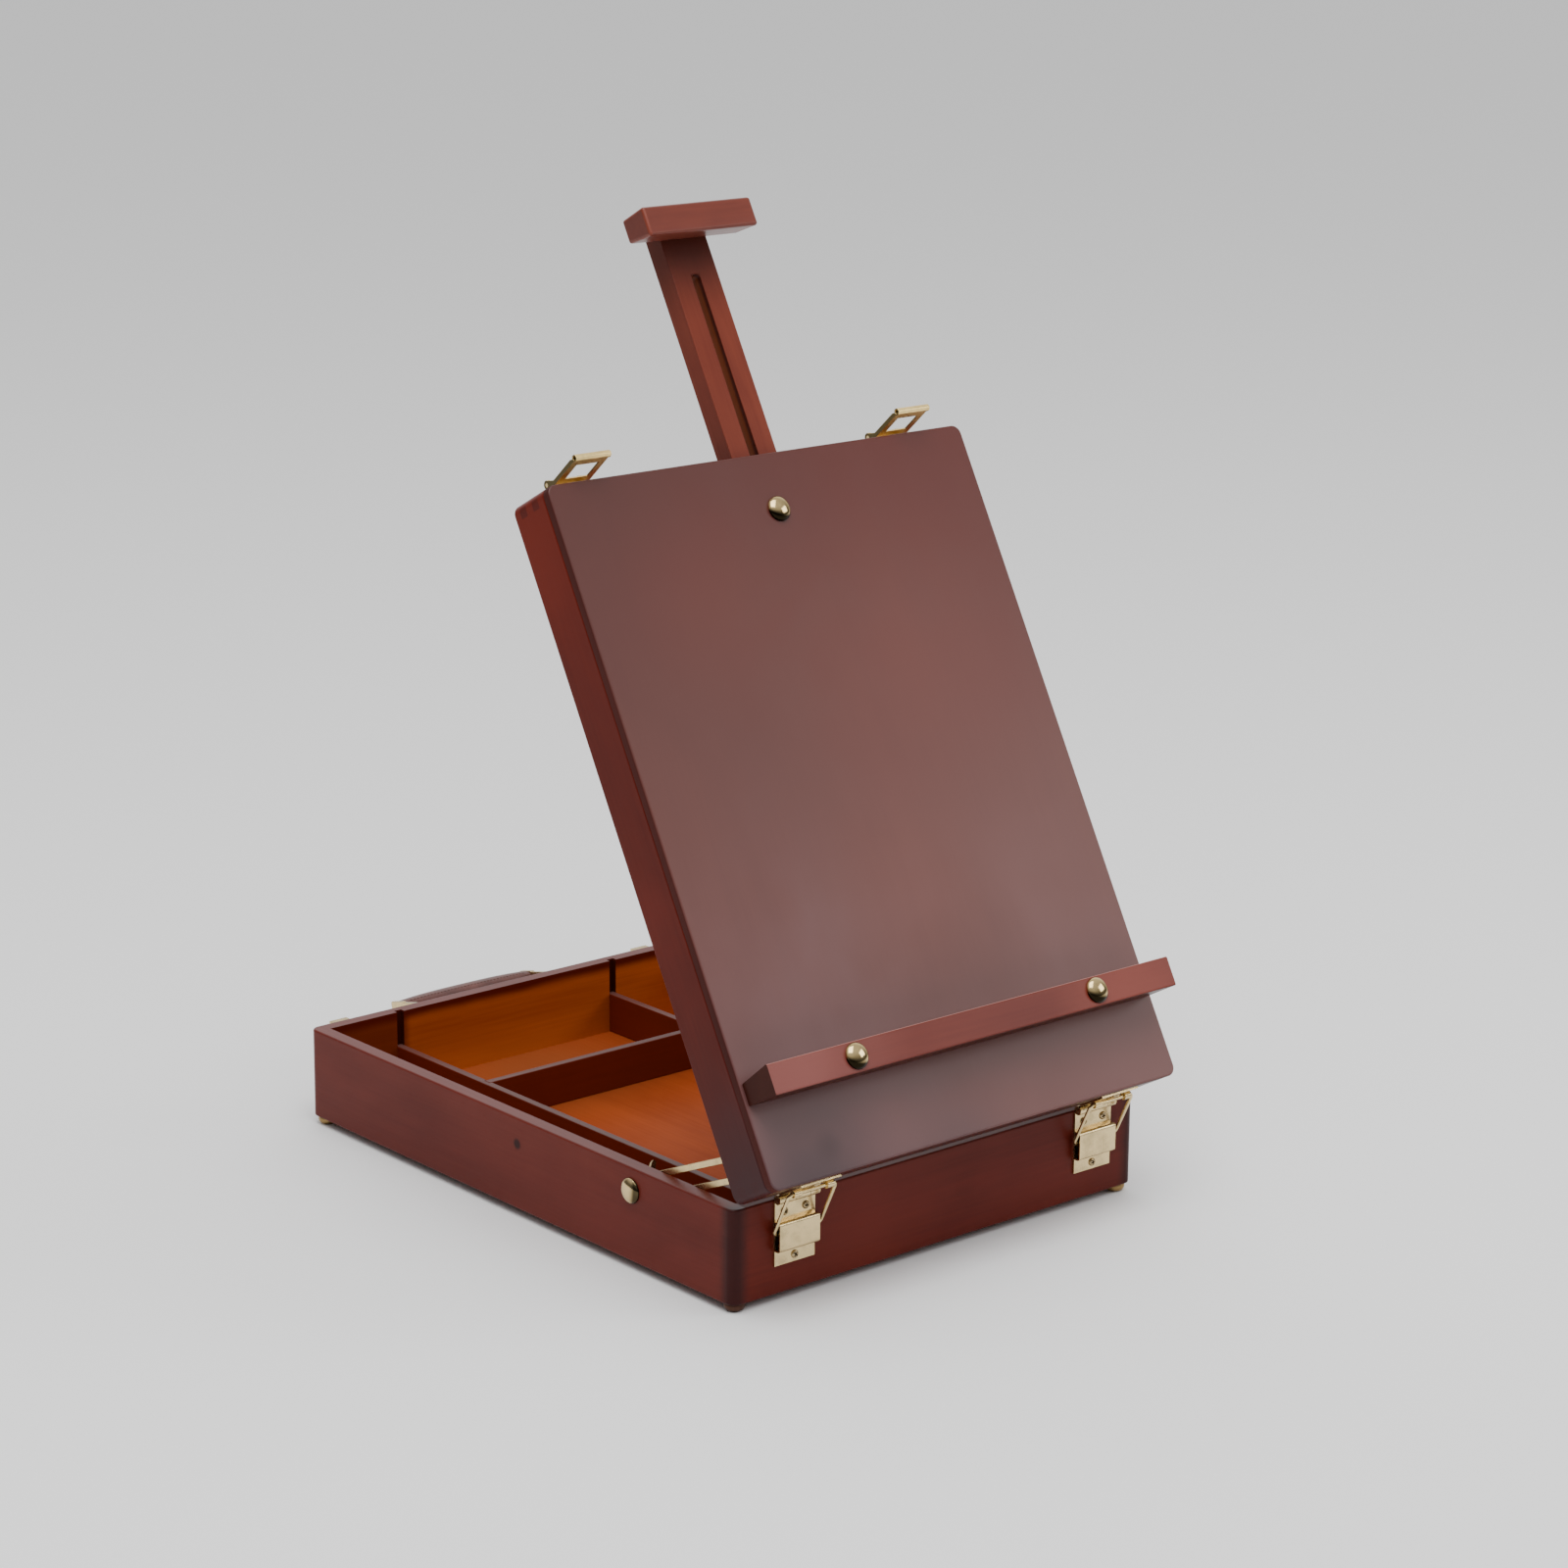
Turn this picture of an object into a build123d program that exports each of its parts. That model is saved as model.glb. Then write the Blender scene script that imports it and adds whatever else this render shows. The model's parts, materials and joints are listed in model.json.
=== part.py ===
"""Tabletop sketch-box easel: a tray with compartments under a hinged lid that is the drawing board.

Millimetres, +Z up. X is the box's width, the hinges are at -Y and the carrying handle at +Y.
The lid stands open at lid_open. Everything is laid out from the middle of the tray, and saved
about a point origin_behind further back, which is on the table under the middle of the object.
"""
import math
import os

from build123d import *

os.makedirs("parts", exist_ok=True)

# ---- box -------------------------------------------------------------------------------
box_width = 270.0
box_length = 355.0
tray_height = 49.0
wall = 8.0
corner_radius = 5.0
edge_round = 1.0
rail_depth = 27.0
panel_thickness = 4.5
rim_gap = 1.0
lid_open = 61.0
origin_behind = 5.35
tray_fingers = 7
rail_fingers = 5

foot_radius = 4.8
foot_height = 4.5
foot_flat = 2.5
foot_inset = 6.5
foot_nail_radius = 0.9
foot_nail_length = 6.0

floor_thickness = 3.0
floor_lift = 4.0
groove_depth = 3.0
groove_play = 0.2
floor_corner = 6.0

divider_thickness = 4.5
divider_drop = 19.5
dado_depth = 3.0
dado_play = 0.1
cross_dado_depth = 1.5
long_divider_x = -81.0
cross_divider_y = 92.0
rear_divider_x = 66.0

# ---- hinges with wire stays --------------------------------------------------------------
hinge_centres = {"left": -97.0, "right": 104.0}
leaf_width = 25.5
leaf_thickness = 1.0
leaf_bottom = 34.5
leaf_start = 3.0
lid_leaf_height = 18.0
leaf_screw_side = 6.8
leaf_screw_upper = 4.2
leaf_screw_lower = 3.6
lid_screw_near = 6.8
lid_screw_far = 17.0
join = 0.01
knuckle_radius = 2.4
knuckle_offset = 2.5
knuckle_length = 6.0
knuckle_play = 0.2
hinge_pin_radius = 1.2
pin_play = 0.05
tunnel_top = 11.6
tunnel_height = 15.2
tunnel_depth = 3.1
tunnel_skin = 0.8
tunnel_width = 25.5
tunnel_fold = 1.8
wire_radius = 0.9
wire_arm = 26.5
wire_span = 29.8
wire_hook = 4.4
wire_corner = 2.6
wire_lug_height = 13.0
wire_lug_radius = 1.9
wire_lug_length = 4.5
wire_trim = 0.3

# ---- slotted stays -----------------------------------------------------------------------
stay_bolt_run = 80.5
stay_bolt_drop = 12.5
stay_pivot_above = 11.2
stay_pivot_out = 8.5
stay_width = 13.6
stay_slot = 7.2
stay_thickness = 1.5
stay_gap = 0.3
stay_slot_near = 15.0
stay_slot_far = 92.0
stay_end = 97.0
stay_trim = 0.55
stay_pivot_radius = 2.5
stay_head_radius = 4.5
stay_head_height = 1.2
stay_screw_radius = 1.4
stay_screw_length = 6.0
stay_bolt_radius = 1.6
stay_bolt_reach = 11.5
stay_washer_radius = 7.0

# ---- domed bolts, screws and wing nuts -----------------------------------------------------
dome_radius = 6.6
dome_height = 4.4
dome_rim = 0.8
bolt_radius = 2.5
screw_head_radius = 2.1
screw_head_height = 1.2
screw_radius = 1.1
screw_length = 7.0
washer_thickness = 1.0
nut_gap = 0.15
nut_hub_radius = 4.2
nut_hub_height = 5.5
nut_wing_reach = 11.5
nut_wing_rise = 8.5
nut_wing_thickness = 1.8
nut_wing_foot = 1.0
nut_wing_tip = 2.6
stay_nut_turn = 58.0
mast_nut_turn = 25.0
ledge_nut_turn = 15.0

# ---- mast ----------------------------------------------------------------------------------
mast_width = 29.5
mast_thickness = 11.5
mast_length = 300.0
mast_raise = 118.0
mast_play = 0.3
mast_slot = 5.6
mast_slot_margin = 19.0
mast_tail = 11.0
mast_bolt_down = 29.5
mast_bolt_end = 5.0
guide_width = 12.0
guide_bottom = 40.0
head_width = 70.0
head_depth = 18.5
head_height = 12.5
head_lip = 3.0
head_round = 1.5

# ---- ledge ---------------------------------------------------------------------------------
ledge_width = 266.0
ledge_depth = 22.5
ledge_height = 11.0
ledge_front_height = 15.5
ledge_up = 44.5
ledge_round = 0.8
ledge_bolt_spread = 80.0
ledge_bolt_up = 8.0
ledge_bolt_out = 10.0

# ---- hasps and keepers ---------------------------------------------------------------------
hasp_centres = {"left": -110.2, "right": 98.2}
hasp_width = 21.5
hasp_sheet = 0.8
hasp_screw_out = 8.2
hasp_screw_side = 6.0
hasp_plate_low = 5.0
hasp_plate_height = 17.0
hasp_pivot_out = 14.5
hasp_pivot_rise = 4.8
hasp_pin_radius = 1.0
hasp_ear_radius = 2.4
hasp_ear_inset = 0.25
hasp_flange = 2.4
hasp_plate_shift = 3.4
hasp_heel = 1.6
hasp_plate_start = 3.0
hasp_tube_lift = 1.1
hasp_reach = 27.2
hasp_flange_end = 24.0
hasp_ear_foot = 6.0
hasp_window_width = 13.6
hasp_window_start = 9.7
hasp_window_end = 22.0
hasp_tube_radius = 1.8
hasp_tube_bore = 1.1
hasp_open = 167.0
keeper_width = 11.0
keeper_height = 15.0
keeper_thickness = 1.0
keeper_drop = 2.7
keeper_hook = 9.5
keeper_lip = 3.0
keeper_screws_down = (6.6, 12.0)

# ---- carrying handle -----------------------------------------------------------------------
handle_centre = -7.8
handle_span = 92.0
handle_pivot_drop = 5.9
handle_pivot_out = 4.5
handle_reach = 30.0
handle_lift = -13.5
grip_thickness = 7.0
grip_width = 14.0
grip_round = 2.5
cap_border = 1.3
cap_stud_radius = 2.0
cap_stud_length = 8.0
link_width = 3.4
link_eye = 2.6
link_thickness = 2.6
bracket_width = 14.0
bracket_height = 19.0
bracket_screws_down = (7.0, 12.0)
bracket_thickness = 1.0
ear_thickness = 1.2
ear_gap = 0.3
ear_radius = 3.0
handle_pin_radius = 1.25
pin_end = 0.4

# ---- worked-out places ---------------------------------------------------------------------
inner_width = box_width - 2 * wall
inner_length = box_length - 2 * wall
front_y = -box_length / 2
rear_y = box_length / 2
tray_z = foot_height
rim_z = tray_z + tray_height
floor_z = tray_z + floor_lift
floor_top = floor_z + floor_thickness
axis_y = front_y - knuckle_offset
axis_z = rim_z + rim_gap / 2
divider_top = rim_z - divider_drop
rail_foot = rim_gap / 2
panel_back = rail_foot + rail_depth
panel_face = panel_back + panel_thickness
lid_near = knuckle_offset
lid_far = lid_near + box_length
lid_middle = lid_near + box_length / 2
handle_pivot_z = rim_z - handle_pivot_drop
fitting_shift = (handle_span - link_thickness) / 2
sides = {"left": -1, "right": 1}
ends = {"front": -1, "rear": 1}

across = Vector(1, 0, 0)
up = Vector(0, 0, 1)
lid_along = Vector(0, math.cos(math.radians(lid_open)), math.sin(math.radians(lid_open)))
lid_out = Vector(0, -math.sin(math.radians(lid_open)), math.cos(math.radians(lid_open)))
hinge_axis = Vector(0, axis_y, axis_z)


def lid_point(x, along, out):
    """A place in the lid's own directions: across, up the board, and out of its face."""
    return hinge_axis + across * x + lid_along * along + lid_out * out


def on_board(x, along, out):
    """Plane parallel to the board's face: local x is across and local y goes up the board."""
    return Plane(origin=lid_point(x, along, out), x_dir=across, z_dir=lid_out)


def on_lid_side(x, along, out):
    """Plane across the lid: local x goes up the board and local y out of its face."""
    return Plane(origin=lid_point(x, along, out), x_dir=lid_along, z_dir=across)


def on_lid_foot(x, out):
    """Plane on the lid's hinge-side face, looking away from the board: local y goes out of the face."""
    return Plane(origin=lid_point(x, lid_near, out), x_dir=across, z_dir=-lid_along)


def on_lid_top(x, out):
    """Plane on the lid's free end: local y goes out of the board's face."""
    return Plane(origin=lid_point(x, lid_far, out), x_dir=-across, z_dir=lid_along)


def on_front(x, z):
    """Plane on the tray's front face: local y is up."""
    return Plane(origin=(x, front_y, z), x_dir=across, z_dir=(0, -1, 0))


def on_rear(x, z):
    """Plane on the tray's rear face: local y is up."""
    return Plane(origin=(x, rear_y, z), x_dir=-across, z_dir=(0, 1, 0))


def facing(origin, normal, x_dir):
    return Plane(origin=origin, x_dir=x_dir, z_dir=normal)


def profile_plane(seat):
    """Plane through a seat's axis: local x is the radius and local y the height over the seat."""
    return Plane(origin=seat.origin, x_dir=seat.x_dir, z_dir=-seat.y_dir)


def save(builder, name):
    placed = builder.part.moved(Pos(0, -origin_behind, 0))
    placed.label = name
    export_step(placed, f"parts/{name}.step")


# ---- fasteners -----------------------------------------------------------------------------
def screws(seats, length=screw_length):
    """Round-headed wood screws, one on each seat."""
    with BuildPart() as group:
        for seat in seats:
            with BuildSketch(seat):
                Circle(screw_head_radius)
            extrude(amount=screw_head_height, taper=25)
            with BuildSketch(seat):
                Circle(screw_radius)
            extrude(amount=-length)
    return group


def domed_bolts(seats, radius, reach):
    """Domed bolts that go down through their seats by reach."""
    with BuildPart() as group:
        for seat in seats:
            with BuildSketch(profile_plane(seat)):
                with BuildLine():
                    TangentArc((0, dome_height), (dome_radius, dome_rim), tangent=(1, 0))
                    Polyline((dome_radius, dome_rim), (dome_radius, 0), (radius, 0),
                             (radius, -reach), (0, -reach), (0, dome_height))
                make_face()
            revolve(axis=Axis(seat.origin, seat.z_dir))
    return group


def washers(seats, inner, outer):
    with BuildPart() as group:
        for seat in seats:
            with BuildSketch(seat):
                Circle(outer)
                Circle(inner, mode=Mode.SUBTRACT)
            extrude(amount=washer_thickness)
    return group


def wing_nut(seat, bore, turn):
    """Wing nut standing on a seat, its wings turned about the seat's axis."""
    angle = math.radians(turn)
    turned = facing(seat.origin, seat.z_dir,
                    seat.x_dir * math.cos(angle) + seat.y_dir * math.sin(angle))
    with BuildPart() as nut:
        with BuildSketch(turned):
            Circle(nut_hub_radius)
        extrude(amount=nut_hub_height, taper=8)
        with BuildSketch(profile_plane(turned)):
            for side in (1, -1):
                with BuildLine():
                    Polyline((0, nut_wing_foot), (side * nut_hub_radius, nut_wing_foot),
                             (side * (nut_wing_reach - nut_wing_foot), nut_wing_rise - nut_wing_tip),
                             (side * nut_wing_reach, nut_wing_rise - nut_wing_foot),
                             (side * (nut_wing_reach - nut_wing_tip / 2), nut_wing_rise),
                             (side * nut_hub_radius, nut_hub_height - nut_wing_foot / 2),
                             (0, nut_hub_height - nut_wing_foot / 2), (0, nut_wing_foot))
                make_face()
        extrude(amount=nut_wing_thickness / 2, both=True)
        with BuildSketch(turned):
            Circle(bore)
        extrude(amount=nut_wing_rise, mode=Mode.SUBTRACT)
    return nut


# ---- tray walls and lid rails: one rounded ring each, cut into finger-jointed pieces -------
def rounded_ring(base_plane, depth):
    with BuildPart() as ring:
        with BuildSketch(base_plane):
            RectangleRounded(box_width, box_length, corner_radius)
        extrude(amount=depth)
        rims = [e for e in ring.edges() if abs(e.tangent_at(0).dot(base_plane.z_dir)) < 0.5]
        fillet(rims, radius=edge_round)
        with BuildSketch(base_plane):
            Rectangle(inner_width, inner_length)
        extrude(amount=depth, mode=Mode.SUBTRACT)
    return ring.part


def jointed_wall(ring, base_plane, depth, fingers, spot, cuts):
    """Cut one wall out of the ring: spot is (side, 0) for a long wall or (0, end) for a short one."""
    side, end = spot
    pitch = depth / fingers
    half_width = (box_width - wall) / 2
    half_length = (box_length - wall) / 2
    if side:
        corners = [(side * half_width, half_length), (side * half_width, -half_length)]
    else:
        corners = [(half_width, end * half_length), (-half_width, end * half_length)]
    with BuildPart() as piece:
        add(ring)
        with BuildSketch(base_plane):
            with Locations((side * half_width, end * half_length)):
                Rectangle(wall if side else box_width, box_length if side else wall)
        extrude(amount=depth, mode=Mode.INTERSECT)
        for finger in range(1 if side else 0, fingers, 2):
            with BuildSketch(base_plane.offset(finger * pitch)):
                with Locations(*corners):
                    Rectangle(wall, wall)
            extrude(amount=pitch, mode=Mode.SUBTRACT)
        for cut in cuts:
            add(cut, mode=Mode.SUBTRACT)
    return piece


tray_plane = Plane.XY.offset(tray_z)
rail_plane = on_board(0, lid_middle, rail_foot)
tray_ring = rounded_ring(tray_plane, tray_height)
rail_ring = rounded_ring(rail_plane, rail_depth)

# ---- feet ----------------------------------------------------------------------------------
foot_cuts = {}
for side_name, side in sides.items():
    for end_name, end in ends.items():
        spot = (side * (box_width / 2 - foot_inset), end * (box_length / 2 - foot_inset))
        foot_seat = facing((*spot, tray_z), (0, 0, -1), across)
        with BuildPart() as foot:
            with BuildSketch(profile_plane(foot_seat)):
                with BuildLine():
                    TangentArc((foot_flat, foot_height), (foot_radius, 0), tangent=(1, 0))
                    Polyline((foot_radius, 0), (foot_nail_radius, 0),
                             (foot_nail_radius, -foot_nail_length), (0, -foot_nail_length),
                             (0, foot_height), (foot_flat, foot_height))
                make_face()
            revolve(axis=Axis(foot_seat.origin, foot_seat.z_dir))
        foot_cuts[side_name, end_name] = foot.part
        save(foot, f"foot_{end_name}_{side_name}")

# ---- hinges: leaves, pins, screws and wire stays --------------------------------------------
leaf_top = axis_z - leaf_start
leaf_height = leaf_top - (axis_z - leaf_bottom)
tunnel_mid = axis_z - tunnel_top - tunnel_height / 2
tray_leaf_seats = []
lid_leaf_seats = []

for side_name, centre in hinge_centres.items():
    upper_z = leaf_top - leaf_screw_upper
    lower_z = axis_z - leaf_bottom + leaf_screw_lower
    tray_leaf_seats += [on_front(centre + dx, z).offset(leaf_thickness)
                        for dx, z in ((-leaf_screw_side, upper_z), (leaf_screw_side, upper_z),
                                      (0, lower_z))]
    lid_leaf_seats += [on_lid_foot(centre + dx, out).offset(leaf_thickness)
                       for dx, out in ((-leaf_screw_side, lid_screw_near), (leaf_screw_side, lid_screw_near),
                                       (0, lid_screw_far))]
tray_hinge_screws = screws(tray_leaf_seats)
lid_hinge_screws = screws(lid_leaf_seats)
save(tray_hinge_screws, "hinge_screws_tray")
save(lid_hinge_screws, "hinge_screws_lid")


def knuckle_plane_at(centre):
    return Plane(origin=(centre, axis_y, axis_z), x_dir=(0, 1, 0), z_dir=across)


with BuildPart() as hinge_pins:
    for centre in hinge_centres.values():
        with BuildSketch(knuckle_plane_at(centre)):
            Circle(hinge_pin_radius)
        extrude(amount=leaf_width / 2, both=True)
save(hinge_pins, "hinge_pins")

for side_name, centre in hinge_centres.items():
    outer_knuckles = leaf_width / 2 - knuckle_length / 2
    middle_length = leaf_width - 2 * knuckle_length - 2 * knuckle_play
    knuckle_plane = knuckle_plane_at(centre)
    tunnel_plane = Plane(origin=(centre, front_y - leaf_thickness, tunnel_mid), x_dir=(0, 1, 0),
                         z_dir=across)

    with BuildPart() as tray_leaf:
        with BuildSketch(on_front(centre, leaf_top - leaf_height / 2)):
            Rectangle(leaf_width, leaf_height)
        extrude(amount=leaf_thickness)
        with BuildSketch(on_front(centre, axis_z)):
            with Locations((outer_knuckles, -leaf_start / 2), (-outer_knuckles, -leaf_start / 2)):
                Rectangle(knuckle_length, leaf_start + join)
        extrude(amount=leaf_thickness)
        for shift in (outer_knuckles, -outer_knuckles):
            with BuildSketch(knuckle_plane.offset(shift)):
                Circle(knuckle_radius)
            extrude(amount=knuckle_length / 2, both=True)
        with BuildSketch(knuckle_plane):
            Circle(hinge_pin_radius + pin_play)
        extrude(amount=leaf_width, both=True, mode=Mode.SUBTRACT)
        with BuildSketch(tunnel_plane) as tunnel_outline:
            Rectangle(tunnel_depth + tunnel_skin, tunnel_height, align=(Align.MAX, Align.CENTER))
            fillet(tunnel_outline.vertices().group_by(Axis.X)[0], tunnel_fold)
        extrude(amount=tunnel_width / 2, both=True)
        with BuildSketch(tunnel_plane) as tunnel_hollow:
            Rectangle(tunnel_depth, tunnel_height - 2 * tunnel_skin, align=(Align.MAX, Align.CENTER))
            fillet(tunnel_hollow.vertices().group_by(Axis.X)[0], tunnel_fold - tunnel_skin)
        extrude(amount=leaf_width, both=True, mode=Mode.SUBTRACT)
        add(tray_hinge_screws.part, mode=Mode.SUBTRACT)
    save(tray_leaf, f"hinge_leaf_tray_{side_name}")

    lug_shift = leaf_width / 2 - wire_lug_length / 2
    lug_plane = on_lid_side(centre, 0, wire_lug_height)
    with BuildPart() as lid_leaf:
        with BuildSketch(on_lid_foot(centre, leaf_start + lid_leaf_height / 2)):
            Rectangle(leaf_width, lid_leaf_height)
        extrude(amount=leaf_thickness)
        with BuildSketch(on_lid_foot(centre, leaf_start / 2)):
            Rectangle(middle_length, leaf_start + join)
        extrude(amount=leaf_thickness)
        with BuildSketch(knuckle_plane):
            Circle(knuckle_radius)
        extrude(amount=middle_length / 2, both=True)
        for shift in (lug_shift, -lug_shift):
            with BuildSketch(lug_plane.offset(shift)):
                Circle(wire_lug_radius)
            extrude(amount=wire_lug_length / 2, both=True)
        with BuildSketch(lug_plane):
            Circle(wire_radius + pin_play)
        extrude(amount=leaf_width, both=True, mode=Mode.SUBTRACT)
        add(hinge_pins.part, mode=Mode.SUBTRACT)
        add(lid_hinge_screws.part, mode=Mode.SUBTRACT)
    save(lid_leaf, f"hinge_leaf_lid_{side_name}")

    # the wire's plane holds its arms: local x is across and local y runs from its hooks to its bar
    tunnel_y = front_y - leaf_thickness - tunnel_depth / 2
    lug_y = lid_point(centre, 0, wire_lug_height).Y
    tilt = math.asin((tunnel_y - lug_y) / wire_arm) + math.radians(wire_trim)
    arm_up = Vector(0, -math.sin(tilt), math.cos(tilt))
    wire_plane = Plane(origin=lid_point(centre, 0, wire_lug_height), x_dir=across,
                       z_dir=across.cross(arm_up))
    half_span = wire_span / 2
    with BuildPart() as wire:
        with BuildLine(wire_plane) as wire_path:
            FilletPolyline((half_span - wire_hook, -wire_arm), (half_span, -wire_arm),
                           (half_span, 0), (-half_span, 0), (-half_span, -wire_arm),
                           (wire_hook - half_span, -wire_arm), radius=wire_corner)
        with BuildSketch(Plane(origin=wire_path.line @ 0, z_dir=wire_path.line % 0)):
            Circle(wire_radius)
        sweep(path=wire_path.line)
    save(wire, f"hinge_wire_{side_name}")

# ---- slotted stays and their bolts ------------------------------------------------------------
stay_bolt_y = axis_y + stay_bolt_run
stay_bolt_z = axis_z - stay_bolt_drop
stay_bolt_seats = {name: facing((side * box_width / 2, stay_bolt_y, stay_bolt_z), across * side,
                                (0, 1, 0)) for name, side in sides.items()}
stay_bolts = domed_bolts(stay_bolt_seats.values(), stay_bolt_radius, wall + stay_bolt_reach)
save(stay_bolts, "stay_bolts")

stay_planes = {}
stay_washer_seats = {}
for side_name, side in sides.items():
    inner_face = side * inner_width / 2
    stay_outer = inner_face - side * stay_gap
    stay_inner = stay_outer - side * stay_thickness
    pivot = lid_point(0, wall + stay_pivot_above, stay_pivot_out)
    run = math.atan2(stay_bolt_z - pivot.Z, stay_bolt_y - pivot.Y) - math.radians(stay_trim)
    stay_plane = Plane(origin=(stay_outer, pivot.Y, pivot.Z), z_dir=across,
                       x_dir=(0, math.cos(run), math.sin(run)))
    with BuildPart() as stay:
        with BuildSketch(stay_plane):
            with Locations((stay_end / 2 - stay_width / 4, 0)):
                SlotOverall(stay_end + stay_width / 2, stay_width)
            with Locations(((stay_slot_near + stay_slot_far) / 2, 0)):
                SlotOverall(stay_slot_far - stay_slot_near, stay_slot, mode=Mode.SUBTRACT)
            Circle(stay_pivot_radius + pin_play, mode=Mode.SUBTRACT)
        extrude(amount=-side * stay_thickness)
    save(stay, f"stay_{side_name}")

    stay_planes[side_name] = stay_plane
    washer_seat = facing((stay_inner - side * nut_gap, stay_bolt_y, stay_bolt_z), across * -side,
                         (0, 1, 0))
    stay_washer_seats[side_name] = washer_seat
    stay_nut = wing_nut(washer_seat.offset(washer_thickness + nut_gap),
                        stay_bolt_radius + pin_play, stay_nut_turn)
    save(stay_nut, f"stay_wing_nut_{side_name}")

stay_washers = washers(stay_washer_seats.values(), stay_bolt_radius, stay_washer_radius)
save(stay_washers, "stay_washers")

with BuildPart() as stay_screws:
    for side_name, side in sides.items():
        stay_plane = stay_planes[side_name]
        with BuildSketch(stay_plane.offset(side * stay_gap)):
            Circle(stay_pivot_radius)
        extrude(amount=-side * (2 * stay_gap + stay_thickness))
        with BuildSketch(stay_plane.offset(-side * (stay_gap + stay_thickness))):
            Circle(stay_head_radius)
        extrude(amount=-side * stay_head_height)
        with BuildSketch(stay_plane.offset(side * stay_gap)):
            Circle(stay_screw_radius)
        extrude(amount=side * stay_screw_length)
save(stay_screws, "stay_screws")

# ---- mast with its head, clamp bolt and guides --------------------------------------------------
mast_front = panel_back - mast_play
mast_back = mast_front - mast_thickness
mast_top = lid_far + mast_raise
mast_bottom = mast_top - mast_length
mast_bolt_along = lid_far - mast_bolt_down
slat_top = mast_top + mast_tail
slot_top = mast_top - mast_slot_margin
slot_bottom = mast_bottom + mast_slot_margin

with BuildPart() as mast_slat:
    with BuildSketch(on_board(0, (slat_top + mast_bottom) / 2, mast_back)):
        Rectangle(mast_width, slat_top - mast_bottom)
        with Locations((0, (slot_top + slot_bottom - slat_top - mast_bottom) / 2)):
            SlotOverall(slot_top - slot_bottom, mast_slot, rotation=90, mode=Mode.SUBTRACT)
    extrude(amount=mast_thickness)
save(mast_slat, "mast_slat")

with BuildPart() as mast_head:
    with BuildSketch(on_lid_side(0, mast_top, mast_front)):
        with BuildLine():
            Polyline((0, 0), (-head_lip, head_depth), (head_height, head_depth),
                     (head_height, 0), (0, 0))
        make_face()
    extrude(amount=head_width / 2, both=True)
    fillet(mast_head.edges().filter_by(Axis.X), radius=head_round)
save(mast_head, "mast_head")

mast_bolt_seat = on_board(0, mast_bolt_along, panel_face)
mast_bolt = domed_bolts([mast_bolt_seat], bolt_radius, panel_face - mast_bolt_end)
save(mast_bolt, "mast_bolt")
mast_washer_seat = facing(lid_point(0, mast_bolt_along, mast_back - nut_gap), -lid_out, across)
mast_washer = washers([mast_washer_seat], bolt_radius, dome_radius)
save(mast_washer, "mast_washer")
mast_nut = wing_nut(mast_washer_seat.offset(washer_thickness + nut_gap), bolt_radius + pin_play, mast_nut_turn)
save(mast_nut, "mast_wing_nut")

guide_top = lid_far - wall
guide_shift = mast_width / 2 + mast_play + guide_width / 2
for side_name, side in sides.items():
    with BuildPart() as guide:
        with BuildSketch(on_board(side * guide_shift, (guide_top + guide_bottom) / 2, mast_back)):
            Rectangle(guide_width, guide_top - guide_bottom)
        extrude(amount=panel_back - mast_back)
    save(guide, f"mast_guide_{side_name}")

# ---- ledge bar, held by two domed bolts and wing nuts --------------------------------------------
ledge_bolt_along = ledge_up + ledge_bolt_up
with BuildPart() as ledge_blank:
    with BuildSketch(on_lid_side(0, ledge_up, panel_face)):
        with BuildLine():
            Polyline((0, 0), (ledge_height, 0), (ledge_front_height, ledge_depth),
                     (0, ledge_depth), (0, 0))
        make_face()
    extrude(amount=ledge_width / 2, both=True)
    fillet(ledge_blank.edges().filter_by(Axis.X), radius=ledge_round)
ledge_seats = [on_board(side * ledge_bolt_spread, ledge_bolt_along, panel_face + ledge_depth)
               for side in sides.values()]
ledge_reach = ledge_depth + panel_thickness + ledge_bolt_out
ledge_bolts = domed_bolts(ledge_seats, bolt_radius, ledge_reach)
save(ledge_bolts, "ledge_bolts")
with BuildPart() as ledge_bar:
    add(ledge_blank.part)
    add(ledge_bolts.part, mode=Mode.SUBTRACT)
save(ledge_bar, "ledge_bar")
for side_name, side in sides.items():
    ledge_nut_seat = facing(lid_point(side * ledge_bolt_spread, ledge_bolt_along,
                                      panel_back - nut_gap), -lid_out, across)
    ledge_nut = wing_nut(ledge_nut_seat, bolt_radius + pin_play, ledge_nut_turn)
    save(ledge_nut, f"ledge_wing_nut_{side_name}")

# ---- hasps on the lid's free end, keepers on the tray's rear wall ----------------------------------
pivot_along = lid_far + hasp_pivot_rise
flange_inner = hasp_width / 2 - hasp_sheet
ear_outer = flange_inner - hasp_ear_inset
hasp_seats = [on_lid_top(centre + dx, hasp_screw_out).offset(hasp_sheet)
              for centre in hasp_centres.values() for dx in (-hasp_screw_side, hasp_screw_side)]
hasp_screws = screws(hasp_seats)
save(hasp_screws, "hasp_screws")

with BuildPart() as hasp_pins:
    for centre in hasp_centres.values():
        with BuildSketch(on_lid_side(centre, pivot_along, hasp_pivot_out)):
            Circle(hasp_pin_radius)
        extrude(amount=hasp_width / 2, both=True)
save(hasp_pins, "hasp_pins")

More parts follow.
